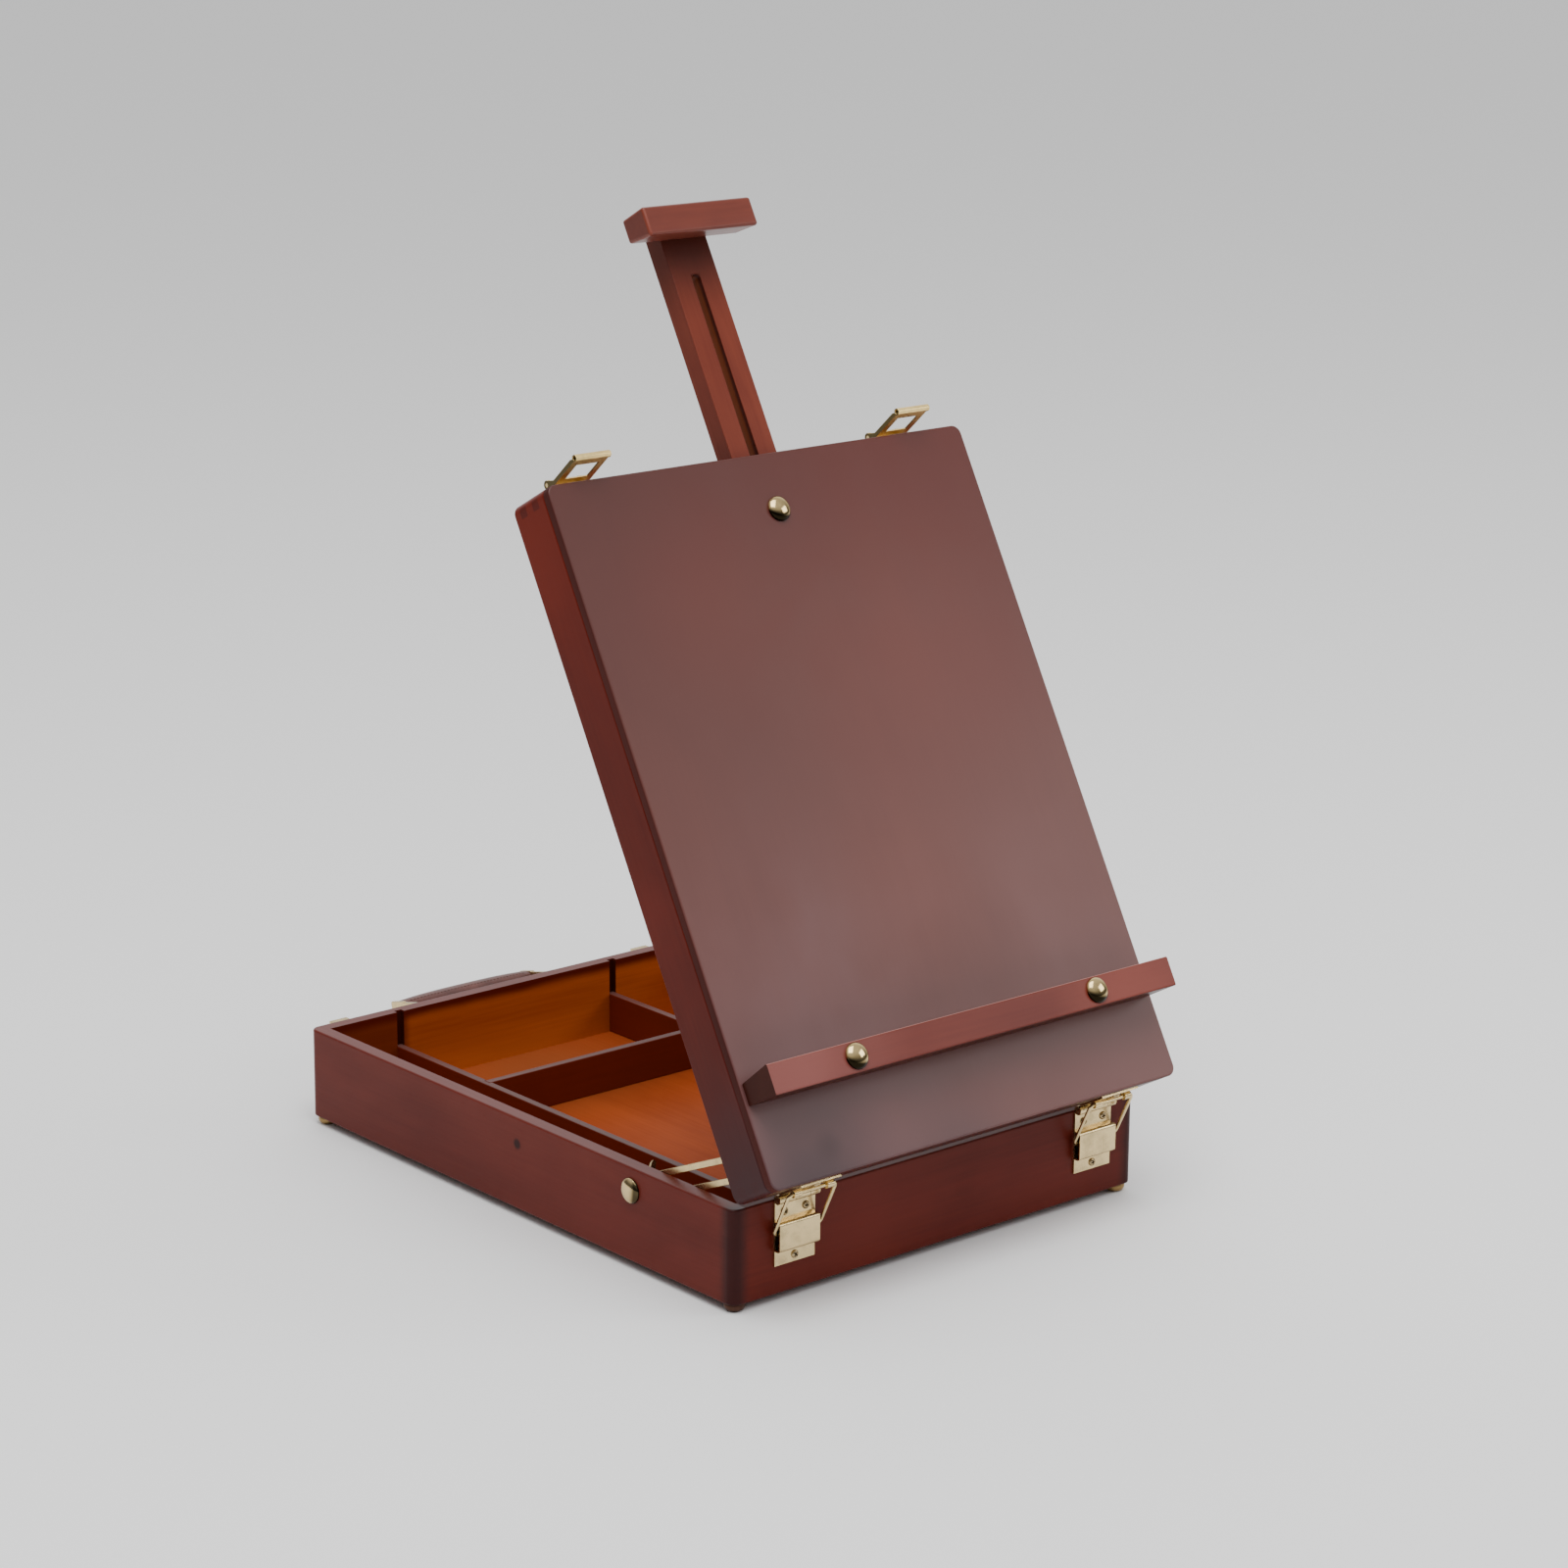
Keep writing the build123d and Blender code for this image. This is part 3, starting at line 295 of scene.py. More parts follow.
def wood(name, grain, light, dark, inside=None, inner=None, marks=(), gloss=0.34, varnish=1.20,
         figure_depth=1.0, fleck_depth=0.25, sheen=(UP, 0.45, 0.35), tints=(), ends=0.2,
         unlit_sides=None, corners=0.0, lit_top_edges=None, facade_shade=None):
    """Stained and varnished wood whose fibres run along grain, in the colours light and dark.

    inside colours the bare faces, with the colours in inner. facade_shade is the light and the
    dark colour of the faces that look along the box, painted darker as shade. marks lists dark
    spots as (place, radius), and tints lists wide patches of colour as (place, radius, colour,
    strength); on the board they are painted reflection haze and painted shade, and under the
    mast's head a painted shadow. sheen is (side, weight, softness) of the glossier coat on the
    faces of one side, and unlit_sides is the colour of all the other faces: painted shade on the
    board, the ledge and the hinge rail, and the dividers' own side colour below tops painted
    lighter as a reflection. ends is how much darker the end grain is, corners how much darker
    the box's corners beside the hinges are, and lit_top_edges the colour of a painted highlight
    on the edges that look up. Eased edges get painted shade and painted highlights."""
    sheen_side, sheen_weight, sheen_softness = sheen
    shader = Shader(name)
    grain = Vector(grain).normalized()
    side = ACROSS if abs(grain.x) < 0.5 else UP
    rise = grain.cross(side).normalized()
    shift = next(pattern_shifts) * PATTERN_STEP
    place = shader.place()
    facing = shader.facing()
    run = shader.along(place, grain)
    left = shader.along(place, side) + shift
    high = shader.along(place, rise) + shift

    def streaks(settings, stretch):
        return shader.noise(shader.joined(run * stretch, left, high), *settings)

    figure = streaks(FIGURE, FIGURE_STRETCH)
    lines = streaks(LINES, LINE_STRETCH)
    pores = streaks(PORES, PORE_STRETCH)
    smears = shader.noise(place, *SMEARS)
    tone = (figure * 0.55 + lines * 0.25 + smears * 0.55).rising(0.42, 0.95)
    base = shader.mix(light, dark, tone * figure_depth)
    # painted shade: faces that look along the box take darker colours
    if facade_shade:
        turned = abs(shader.along(facing, LENGTH)).rising(0.4, 0.9)
        base = shader.mix(base, shader.mix(*facade_shade, tone * figure_depth), turned)
    # wide patches of colour; on the board and under the mast's head these are painted light and
    # shade
    for spot, radius, tint, strength in tints:
        cloud = shader.distance(place, spot) + (smears - 0.5) * (radius * 0.7)
        base = shader.mix(base, tint, (1 - cloud.rising(0, radius)) * strength)
    flecks = pores.rising(0.62, 0.74)
    base = shader.mix(base, dark, flecks * fleck_depth)
    if inside:
        base = inside(shader, place, base, inner, figure * 0.8 + lines * 0.3, smears)
    for spot, radius in marks:
        smudge = shader.distance(place, spot) + (smears - 0.5) * (radius * 1.2)
        base = shader.mix(shaded(dark, MARK_SHADE), base, smudge.rising(radius * 0.35, radius))
    edge = shader.face_value("edge")
    edge_highlight = edge * (smears + lines * 0.5).rising(0.55, 0.9)
    # painted shade along the eased edges, then painted highlights on them broken up by the grain
    base = shader.mix(base, shaded(dark, EDGE_SHADE), edge * 0.35)
    base = shader.mix(base, shaded(light, EDGE_HIGHLIGHT_SHADE), edge_highlight * 0.5)
    end_grain = abs(shader.along(facing, grain)).rising(0.80, 0.96)
    base = shader.mix(base, shaded(dark, END_SHADE), end_grain * ends)
    if corners:
        flat = shader.joined(abs(shader.along(place, ACROSS)), shader.along(place, LENGTH), 0.0)
        away = shader.distance(flat, HINGE_CORNER) - smears * 0.004
        base = shader.mix(base, CORNER_STAIN, (1 - away.rising(*CORNER_STAIN_REACH)) * corners)
    height = lines * 0.5 - flecks * 0.5 + smears * 0.5
    rough = lines * 0.10 + smears * 0.16 + flecks * 0.1 + (gloss - 0.13)
    glossy = shader.along(facing, sheen_side).rising(0.35, 0.92)
    # painted light: faces that don't look to the sheen side take the side colour, as painted
    # shade on most parts
    if unlit_sides:
        sides = shader.mix(unlit_sides, shaded(unlit_sides, UNLIT_SIDES_DARK_GRAIN), tone)
        base = shader.mix(sides, base, glossy)
    # painted highlight on the edges that look up
    if lit_top_edges:
        base = shader.mix(base, lit_top_edges, shader.along(facing, UP).rising(0.88, 0.94))
    return shader.finish(Base_Color=base, Roughness=rough, IOR=varnish,
                         Coat_Weight=glossy * sheen_weight, Coat_Roughness=sheen_softness,
                         Coat_IOR=COAT_IOR,
                         Normal=shader.bump(height, strength=0.10, distance=0.0004))


OUTSIDE = (screen(106, 40, 30), screen(84, 27, 20))
# painted shade: darker colours for the faces that look along the box
SHADED_FACADE = (screen(100, 34, 23), screen(76, 21, 14))
# bare wood light and dark, stain near the rim, then painted shade in the grooves, painted shade
# in the narrow compartment and painted light low on the walls
INNER = (screen(184, 88, 27), screen(154, 66, 17), screen(92, 24, 8), screen(70, 26, 17),
         screen(92, 30, 14), screen(196, 104, 40))
BOARD = (screen(96, 50, 42), screen(82, 41, 36))
LID_SIDE = (screen(99, 27, 13), screen(79, 18, 8))
MAST = (screen(118, 54, 39), screen(90, 36, 27))
LEDGE = (screen(108, 43, 32), screen(86, 31, 24))
# divider tops: lighter mauve as a painted reflection; the next colour is their sides' own stain
DIVIDER = (screen(108, 70, 64), screen(84, 48, 44))
DIVIDER_SIDE = screen(120, 40, 15)


# ---- metal and leather ---------------------------------------------------------------------
SPOT_SHADE = 0.70
# the next three are painted shade: in recesses, on faces turned to a shaded side, and on faces
# looking to the left
RECESS_SHADE = 0.06
UNDERSIDE_SHADE = 0.02
LEFT_SIDE_SHADE = 0.12
HAZE_ROUGHNESS = 0.12
SPOTS = (170, 4, 0.6)
HAZE = (42, 2, 0.5)
BRUSHING = (1900, 2, 0.5)


def brass(name, tint, rough, wear=0.12, left_shade=0.0, shade=None):
    """Plated sheet metal: bright, faintly brushed, duller in spots, and painted dark as shade
    where the face attribute recess is set. rough is its roughness and wear how much that varies
    from spot to spot. left_shade is how much painted shade darkens the faces that look to the
    left.
    shade is (side, amount): how much painted shade darkens the faces that look to that side."""
    shader = Shader(name)
    place = shader.place()
    spots = shader.noise(place, *SPOTS)
    haze = shader.noise(place, *HAZE)
    spotted = (spots * 0.7 + haze * 0.5).rising(0.5, 0.85)
    tone = shader.mix(tint, shaded(tint, SPOT_SHADE), spotted)
    brushed = shader.noise(place, *BRUSHING)
    # painted shade in the recesses
    tone = shader.mix(tone, shaded(tint, RECESS_SHADE), shader.face_value("recess"))
    facing = shader.facing()
    # painted shade on the faces that look to the shaded side
    if shade:
        side, amount = shade
        under = shader.along(facing, side).rising(0.12, 0.42)
        tone = shader.mix(tone, shaded(tint, UNDERSIDE_SHADE), under * amount)
    # painted shade on the faces that look to the left
    if left_shade:
        outer = (shader.along(facing, ACROSS) * -1).rising(0.7, 0.97)
        tone = shader.mix(tone, shaded(tint, LEFT_SIDE_SHADE), outer * left_shade)
    varied = spots * wear + haze * HAZE_ROUGHNESS + (rough - HAZE_ROUGHNESS)
    return shader.finish(Base_Color=tone, Metallic=1.0, Roughness=varied,
                         Normal=shader.bump(brushed + haze, strength=0.05, distance=0.0002))


def leather(name, light, dark):
    """Smooth leather with fine creases and darker patches."""
    shader = Shader(name)
    place = shader.place()
    cells = shader.node("ShaderNodeTexVoronoi", {"feature": "DISTANCE_TO_EDGE"},
                        {"Vector": place, "Scale": 1500.0})
    creases = cells.rising(0.0, 0.10)
    patches = shader.noise(place, 70, 4, 0.6)
    base = shader.mix(dark, light, (patches * 0.8 + creases * 0.1).rising(0.3, 0.75))
    return shader.finish(Base_Color=base, Roughness=patches * 0.2 + 0.30,
                         Normal=shader.bump(creases + patches * 0.3, strength=0.22,
                                            distance=0.0002))


def thread(name, tint):
    """Twisted sewing thread."""
    shader = Shader(name)
    place = shader.place()
    twist = shader.noise(place, 2600, 2, 0.5)
    base = shader.mix(tint, shaded(tint, 0.55), twist.rising(0.35, 0.7))
    return shader.finish(Base_Color=base, Roughness=twist * 0.2 + 0.6,
                         Normal=shader.bump(twist, strength=0.4, distance=0.0002))


PALE_BRASS = brass("pale_brass", (0.70, 0.54, 0.28, 1), rough=0.26)
GOLD = brass("gold_plate", (0.96, 0.72, 0.30, 1), rough=0.42, wear=0.10, left_shade=1.0)
# painted shade on the domes: on the lid's, on faces turned down the board and to the left; on the
# stays', on faces turned to the front
POLISHED = brass("polished_brass", (0.68, 0.51, 0.24, 1), rough=0.16, wear=0.04,
                 shade=(BOARD_UP * -0.95 - ACROSS * 0.3, 1.0))
SIDE_POLISHED = brass("side_polished_brass", (0.66, 0.50, 0.25, 1), rough=0.16, wear=0.04,
                      shade=(LENGTH * -0.95 - UP * 0.1, 0.9))
# darker brass on the other feet: painted reflection of the brown wood above them
REFLECTING_FOOT_BRASS = brass("reflecting_foot_brass", (0.40, 0.26, 0.11, 1), rough=0.32, wear=0.2)
# much darker brass on the front left foot: painted shade
SHADOWED_FOOT_BRASS = brass("shadowed_foot_brass", (0.10, 0.05, 0.035, 1), rough=0.40, wear=0.2)
SCREW_METAL = brass("screw_metal", (0.42, 0.32, 0.18, 1), rough=0.24, wear=0.16)
GRIP_LEATHER = leather("grip_leather", screen(118, 70, 62), screen(80, 42, 36))
GRIP_THREAD = thread("grip_thread", screen(96, 62, 54))


def paint(material, *nodes):
    """Gives CAD nodes a material and leaves their shapes as they are."""
    for node in nodes:
        mesh = frame["nodes"][node].data
        mesh.materials.clear()
        mesh.materials.append(material)


# ---- making pieces -------------------------------------------------------------------------
WELD = 1e-6
FLAT_ANGLE = math.radians(0.6)
HARD_ANGLE = math.radians(38)
SMOOTH_ANGLE = math.radians(32)
POINT_RADIUS = 0.00001


def body_of(node):
    """The moving body that a CAD node belongs to."""
    for body, nodes in frame["record"]["behaviour"]["bodies"].items():
        if node in nodes:
            return body
    raise KeyError(node)


def new_piece(name, mesh, body, nodes=()):
    """A visual piece that rides a body, in place of the CAD nodes that are given."""
    piece = bpy.data.objects.new(name, mesh)
    bpy.context.collection.objects.link(piece)
    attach(piece, body)
    if nodes:
        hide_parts(*nodes)


def mark_faces(mesh, attribute, chosen):
    """Sets a face attribute to 1 on the chosen faces and to 0 on the others."""
    marks = mesh.attributes.new(attribute, "FLOAT", "FACE")
    marks.data.foreach_set("value", [float(i in chosen) for i in range(len(mesh.polygons))])


def softened(node, radius, material, segments=3):
    """The same shape as a CAD node, with its hard edges eased by radius. The eased faces are
    marked in the attribute edge."""
    mesh = frame["nodes"][node].data.copy()
    mesh.name = f"{node}_eased"
    work = bmesh.new()
    work.from_mesh(mesh)
    bmesh.ops.remove_doubles(work, verts=work.verts, dist=WELD)
    bmesh.ops.dissolve_limit(work, angle_limit=FLAT_ANGLE, verts=work.verts, edges=work.edges)
    hard = [edge for edge in work.edges if len(edge.link_faces) == 2
            and abs(edge.calc_face_angle(0)) > HARD_ANGLE]
    made = bmesh.ops.bevel(work, geom=hard, offset=radius, offset_type="OFFSET",
                           segments=segments, profile=0.5, affect="EDGES", clamp_overlap=True)
    eased = {face for face in made["faces"] if face.is_valid}
    for edge in work.edges:
        turn = edge.calc_face_angle(0) if len(edge.link_faces) == 2 else math.pi
        rounded = [face in eased for face in edge.link_faces]
        edge.smooth = all(rounded) or not any(rounded) and turn < SMOOTH_ANGLE
    for face in work.faces:
        face.smooth = True
    work.faces.index_update()
    eased = {face.index for face in eased}
    work.to_mesh(mesh)
    work.free()
    mark_faces(mesh, "edge", eased)
    mesh.materials.clear()
    mesh.materials.append(material)
    new_piece(f"{node}_eased", mesh, body_of(node), (node,))


def islands(node):
    """The separate solids of a CAD node, each as a list of its corner points."""
    work = bmesh.new()
    work.from_mesh(frame["nodes"][node].data)
    bmesh.ops.remove_doubles(work, verts=work.verts, dist=WELD)
    waiting = set(work.verts)
    found = []
    while waiting:
        corners = set()
        front = [waiting.pop()]
        while front:
            vertex = front.pop()
            corners.add(vertex)
            for edge in vertex.link_edges:
                other = edge.other_vert(vertex)
                if other in waiting:
                    waiting.discard(other)
                    front.append(other)
        found.append([vertex.co.copy() for vertex in corners])
    work.free()
    return sorted(found, key=lambda corners: tuple(sum(corners, Vector()) / len(corners)))


def mesh_of(name, verts, faces, material=None, recessed=()):
    """A smooth mesh whose recessed faces are marked for the metal's shader."""
    mesh = bpy.data.meshes.new(name)
    mesh.from_pydata([tuple(vertex) for vertex in verts], [], faces)
    mesh.shade_smooth()
    if recessed:
        mark_faces(mesh, "recess", recessed)
    if material:
        mesh.materials.append(material)
    return mesh


def screw_shape(name, head, crown, shank, length, cross):
    """A raised screw head, with a cross recess if cross is set, on its shank, standing along
    +Z on its seat."""
    rings, spokes = 12, 48
    arm_width, arm_length = head * 0.17, head * 0.62
    rim_share, recess_share = 0.18, 0.65
    middle = crown * (1 - recess_share if cross else 1)
    verts, faces, recessed = [Vector((0, 0, middle))], [], set()

    def sunk(radius, angle):
        x, y = abs(radius * math.cos(angle)), abs(radius * math.sin(angle))
        return cross and min(x, y) < arm_width and max(x, y) < arm_length

    for ring in range(1, rings + 1):
        radius = head * ring / rings
        for spoke in range(spokes):
            angle = math.tau * spoke / spokes
            curve = math.sqrt(max(0.0, 1 - (ring / rings) ** 2.4))
            dome = crown * (rim_share + (1 - rim_share) * curve)
            height = dome - crown * recess_share * sunk(radius, angle)
            verts.append(Vector((radius * math.cos(angle), radius * math.sin(angle), height)))
    for depth, radius in ((0, head), (0, shank), (-length, shank * 0.8),
                          (-length, POINT_RADIUS)):
        for spoke in range(spokes):
            angle = math.tau * spoke / spokes
            verts.append(Vector((radius * math.cos(angle), radius * math.sin(angle), depth)))
    for spoke in range(spokes):
        after = (spoke + 1) % spokes
        faces.append((0, 1 + spoke, 1 + after))
        if cross:
            recessed.add(len(faces) - 1)
    for ring in range(rings + 3):
        for spoke in range(spokes):
            after = (spoke + 1) % spokes
            first, second = 1 + ring * spokes, 1 + (ring + 1) * spokes
            faces.append((first + spoke, second + spoke, second + after, first + after))
            radius = head * (ring + 1.5) / rings
            if ring < rings - 1 and sunk(radius, math.tau * (spoke + 0.5) / spokes):
                recessed.add(len(faces) - 1)
    return mesh_of(name, verts, faces, recessed=recessed)


def scatter_tree(material):
    """A node group that puts a shape on every point of a mesh, turned by the points'
    attribute turn, as real geometry in one material; and its input for the shape."""
    group = bpy.data.node_groups.new("scatter", "GeometryNodeTree")
    group.interface.new_socket("Points", in_out="INPUT", socket_type="NodeSocketGeometry")
    shape_input = group.interface.new_socket("Shape", in_out="INPUT",
                                             socket_type="NodeSocketObject")
    group.interface.new_socket("Pieces", in_out="OUTPUT", socket_type="NodeSocketGeometry")
    tree = Tree(group)
    entry = group.nodes.new("NodeGroupInput")
    leave = group.nodes.new("NodeGroupOutput")
    points, source = Value(tree, entry.outputs[0]), Value(tree, entry.outputs[1])
    turn = tree.node("GeometryNodeInputNamedAttribute", {"data_type": "FLOAT_VECTOR"},
                     {"Name": "turn"})
    copied = tree.node("GeometryNodeObjectInfo", None, {"Object": source}, out="Geometry")
    placed = tree.node("GeometryNodeInstanceOnPoints", None,
                       {"Points": points, "Instance": copied, "Rotation": turn})
    real = tree.node("GeometryNodeRealizeInstances", None, {0: placed})
    dressed = tree.node("GeometryNodeSetMaterial", None, {"Geometry": real, "Material": material})
    tree.connect(leave.inputs[0], dressed)
    return group, shape_input.identifier


def scattered(name, shape, seats, material):
    """One mesh with the shape at every seat; a seat is (place, axis, spin)."""
    points = mesh_of(f"{name}_seats", [seat[0] for seat in seats], [])
    turns = points.attributes.new("turn", "FLOAT_VECTOR", "POINT")
    for value, (_, axis, spin) in zip(turns.data, seats):
        turned = axis.to_track_quat("Z", "X").to_matrix() @ Matrix.Rotation(spin, 3, "Z")
        value.vector = turned.to_euler()
    source = bpy.data.objects.new(f"{name}_shape", shape)
    holder = bpy.data.objects.new(f"{name}_holder", points)
    bpy.context.collection.objects.link(source)
    bpy.context.collection.objects.link(holder)
    group, shape_socket = scatter_tree(material)
    modifier = holder.modifiers.new("scatter", "NODES")
    modifier.node_group = group
    modifier[shape_socket] = source
    ready = holder.evaluated_get(bpy.context.evaluated_depsgraph_get())
    mesh = bpy.data.meshes.new_from_object(ready)
    mesh.name = name
    holder.modifiers.remove(modifier)
    bpy.data.objects.remove(holder)
    bpy.data.objects.remove(source)
    bpy.data.node_groups.remove(group)
    return mesh


def seat_of(corners, axis):
    """Where the head of a screw or bolt sits, and its head's radius, its head's height and
    its shank's length."""
    middle = sum(corners, Vector()) / len(corners)
    heights = [corner.dot(axis) for corner in corners]
    reach = [((corner - middle).cross(axis).length, corner.dot(axis)) for corner in corners]
    head = max(radius for radius, height in reach)
    seat = min(height for radius, height in reach if radius > head * 0.9)
    flat = middle - axis * middle.dot(axis)
    return flat + axis * seat, head, max(heights) - seat, seat - min(heights)


def seats_of(node, axis_at):
    """The seats of a CAD node's screws or bolts, as (place, axis), and the first one's size."""
    seats, size = [], None
    for corners in islands(node):
        axis = axis_at(sum(corners, Vector()) / len(corners))
        place, *reaches = seat_of(corners, axis)
        size = size or reaches
        seats.append((place, axis))
    return seats, size


def screws(node, axis_at, shank=0.0011, cross=True):
    """Replaces a CAD node of plain pins by screws with recessed heads."""
    spins = random.Random(node)
    seats, (head, crown, length) = seats_of(node, axis_at)
    turned = [(place, axis, spins.uniform(0, math.pi / 2)) for place, axis in seats]
    shape = screw_shape(f"{node}_one", head, crown, shank, length, cross)
    mesh = scattered(f"{node}_heads", shape, turned, SCREW_METAL)
    new_piece(f"{node}_heads", mesh, body_of(node), (node,))


def lathe(name, profile):
    """A round shape about +Z from (radius, height) pairs, top to bottom."""
    spokes = 64
    verts, faces = [], []
    for radius, height in profile:
        for spoke in range(spokes):
            turn = math.tau * spoke / spokes
            verts.append(Vector((radius * math.cos(turn), radius * math.sin(turn), height)))
    for row in range(len(profile) - 1):
        for spoke in range(spokes):
            after = (spoke + 1) % spokes
            faces.append((row * spokes + spoke, (row + 1) * spokes + spoke,
                          (row + 1) * spokes + after, row * spokes + after))
    faces += [tuple(range(spokes)),
              tuple((len(profile) - 1) * spokes + i for i in reversed(range(spokes)))]
    return mesh_of(name, verts, faces)


def domed_bolts(node, axis_at, shank, height, material=POLISHED):
    """Replaces CAD bolts by polished domes whose curve runs smoothly to the rim, with height
    as a share of the CAD head's."""
    steps = 22
    seats, (head, crown, length) = seats_of(node, axis_at)
    crown *= height
    rim = crown * 0.10
    turns = [math.pi / 2 * i / steps for i in range(steps)]
    profile = [(head * math.sin(turn) + POINT_RADIUS, rim + (crown - rim) * math.cos(turn))
               for turn in turns]
    profile += [(head, rim), (head, rim * 0.4), (head * 0.985, 0), (shank, 0),
                (shank, -length * 0.97), (shank * 0.8, -length)]
    upright = [(place, axis, 0.0) for place, axis in seats]
    mesh = scattered(f"{node}_domes", lathe(f"{node}_one", profile), upright, material)
    new_piece(f"{node}_domes", mesh, body_of(node), (node,))


# ---- wooden parts --------------------------------------------------------------------------
LID_SIDE_TINTS = ((on_lid(-HALF_WIDTH, 0, 0.013), 0.115, screen(59, 34, 36), 0.95),
                  (on_lid(-HALF_WIDTH, 0.34, 0.013), 0.11, screen(108, 29, 13), 0.8))
LEFT_WALL_MARK = (Vector((-HALF_WIDTH, -0.0124, 0.0395)), 0.0035)
for name, grain, weight, marks in (("left", LENGTH, 0.45, (LEFT_WALL_MARK,)),
                                   ("right", LENGTH, 0.45, ()),
                                   ("front", ACROSS, 0.0, ()),
                                   ("rear", ACROSS, 0.45, ())):
    # the walls: painted shade on the faces that look along the box
    paint(wood(f"tray_wood_{name}", grain, *OUTSIDE, tray_insides, INNER, marks, corners=0.85,
               ends=0.0, sheen=(UP, weight, 0.35), facade_shade=SHADED_FACADE), f"tray_wall_{name}")
for name, grain, ends in (("left", BOARD_UP, 0.5), ("right", BOARD_UP, 0.5),
                          ("top", ACROSS, 0.7)):
    paint(wood(f"rail_wood_{name}", grain, *LID_SIDE, ends=ends, tints=LID_SIDE_TINTS),
          f"lid_rail_{name}")
# the hinge rail: painted shade on all its faces but those that look to the left
paint(wood("rail_wood_hinge", ACROSS, *LID_SIDE, ends=0.1, tints=LID_SIDE_TINTS,
           sheen=(ACROSS * -1, 0.0, 0.35), unlit_sides=screen(70, 34, 30)), "lid_rail_hinge")
for name in ("left", "right"):
    softened(f"mast_guide_{name}", 0.0006, wood(f"guide_wood_{name}", BOARD_UP, *OUTSIDE))
BOARD_FACE = 0.03
# mostly painted light: greyer patches of painted reflection haze low on the board, darker and
# redder patches of painted shade above them and along the lower left edge, and two small darker
# spots at the end
BOARD_PAINTED_LIGHT = ((on_lid(-0.10, 0.40, BOARD_FACE), 0.34, screen(72, 31, 26), 0.9),
               (on_lid(0.16, 0.38, BOARD_FACE), 0.28, screen(80, 20, 8), 0.95),
               (on_lid(-0.13, -0.03, BOARD_FACE), 0.24, screen(106, 74, 75), 0.85),
               (on_lid(0.12, -0.02, BOARD_FACE), 0.24, screen(106, 68, 65), 0.8),
               (on_lid(0.05, 0.24, BOARD_FACE), 0.11, screen(102, 42, 30), 0.40),
               (on_lid(-0.06, 0.29, BOARD_FACE), 0.08, screen(98, 40, 30), 0.35),
               (on_lid(0.01, 0.13, BOARD_FACE), 0.07, screen(106, 50, 40), 0.30),
               (on_lid(-0.105, -0.005, BOARD_FACE), 0.065, screen(54, 36, 40), 0.9),
               (on_lid(-0.015, -0.020, BOARD_FACE), 0.065, screen(70, 46, 48), 0.8),
               (on_lid(-0.095, 0.016, BOARD_FACE), 0.012, screen(50, 28, 30), 0.5),
               (on_lid(-0.012, 0.052, BOARD_FACE), 0.012, screen(60, 34, 36), 0.5))
# the board: painted shade on all faces but its front
paint(wood("board_wood", BOARD_UP, *BOARD, gloss=0.42, varnish=1.12, figure_depth=0.55,
           fleck_depth=0.04, tints=BOARD_PAINTED_LIGHT, sheen=(BOARD_OUT, 1.0, 0.40),
           unlit_sides=screen(78, 38, 34)), "lid_panel")
MAST_INNER = (screen(132, 64, 24), screen(98, 42, 14), screen(70, 26, 17))
# painted shadow of the mast's head on the mast below it
HEAD_SHADOW = ((on_lid(0, 0.478, 0.027), 0.052, screen(58, 24, 19), 0.8),)
softened("mast_slat", 0.0008, wood("mast_wood", BOARD_UP, *MAST, slot_insides, MAST_INNER,
                                   tints=HEAD_SHADOW))
softened("mast_head", 0.0018, wood("head_wood", ACROSS, *MAST, varnish=1.36,
                                   fleck_depth=0.1), segments=4)
LEDGE_UP, LEDGE_FACE = 0.0525, 0.042
LEDGE_TINTS = ((on_lid(-0.125, LEDGE_UP, LEDGE_FACE), 0.09, screen(134, 76, 70), 0.8),
               (on_lid(-0.035, LEDGE_UP, LEDGE_FACE), 0.010, screen(150, 62, 36), 0.6),
               (on_lid(0.105, LEDGE_UP, LEDGE_FACE), 0.070, screen(126, 56, 44), 0.8))
# the ledge: painted shade on all faces but its front, and a painted highlight on its upper edge
paint(wood("ledge_wood", ACROSS, *LEDGE, varnish=1.15, ends=0.2, tints=LEDGE_TINTS,
           fleck_depth=0.1, sheen=(BOARD_OUT, 0.40, 0.35), unlit_sides=screen(66, 29, 22),
           lit_top_edges=screen(160, 112, 104)), "ledge_bar")
FLOOR_TINTS = ((Vector((-0.01, 0.135, 0.0125)), 0.11, screen(142, 75, 42), 0.9),)
paint(wood("floor_ply", LENGTH, screen(182, 82, 36), screen(152, 64, 28),
           sheen=(UP, 0.0, 0.3), varnish=1.08, tints=FLOOR_TINTS), "tray_floor")
# painted reflection on the dividers' tops, their own stain on the sides
for name, grain in (("long", LENGTH), ("rear", LENGTH), ("cross", ACROSS)):
    softened(f"divider_{name}", 0.0005,
             wood(f"divider_wood_{name}", grain, *DIVIDER, sheen=(UP, 0.2, 0.35), ends=0.0,
                  unlit_sides=DIVIDER_SIDE))


# ---- metal parts ---------------------------------------------------------------------------
def outward(place):
    """Away from the box's middle, across it."""
    return ACROSS * (1 if place.x > 0 else -1)


EASED = ((PALE_BRASS, 0.00022, ("hinge_leaf_lid", "hinge_leaf_tray", "stay", "latch_keeper",
                                "handle_bracket", "handle_fitting")),
         (GOLD, 0.00018, ("hasp_plate", "hasp_lever")))
for material, radius, names in EASED:
    for name in names:
        for side in ("left", "right"):
            softened(f"{name}_{side}", radius, material)
for node in ("hinge_wire_left", "hinge_wire_right", "hinge_pins", "hasp_pins", "handle_pins",
             "stay_washers", "mast_washer"):
    paint(PALE_BRASS, node)
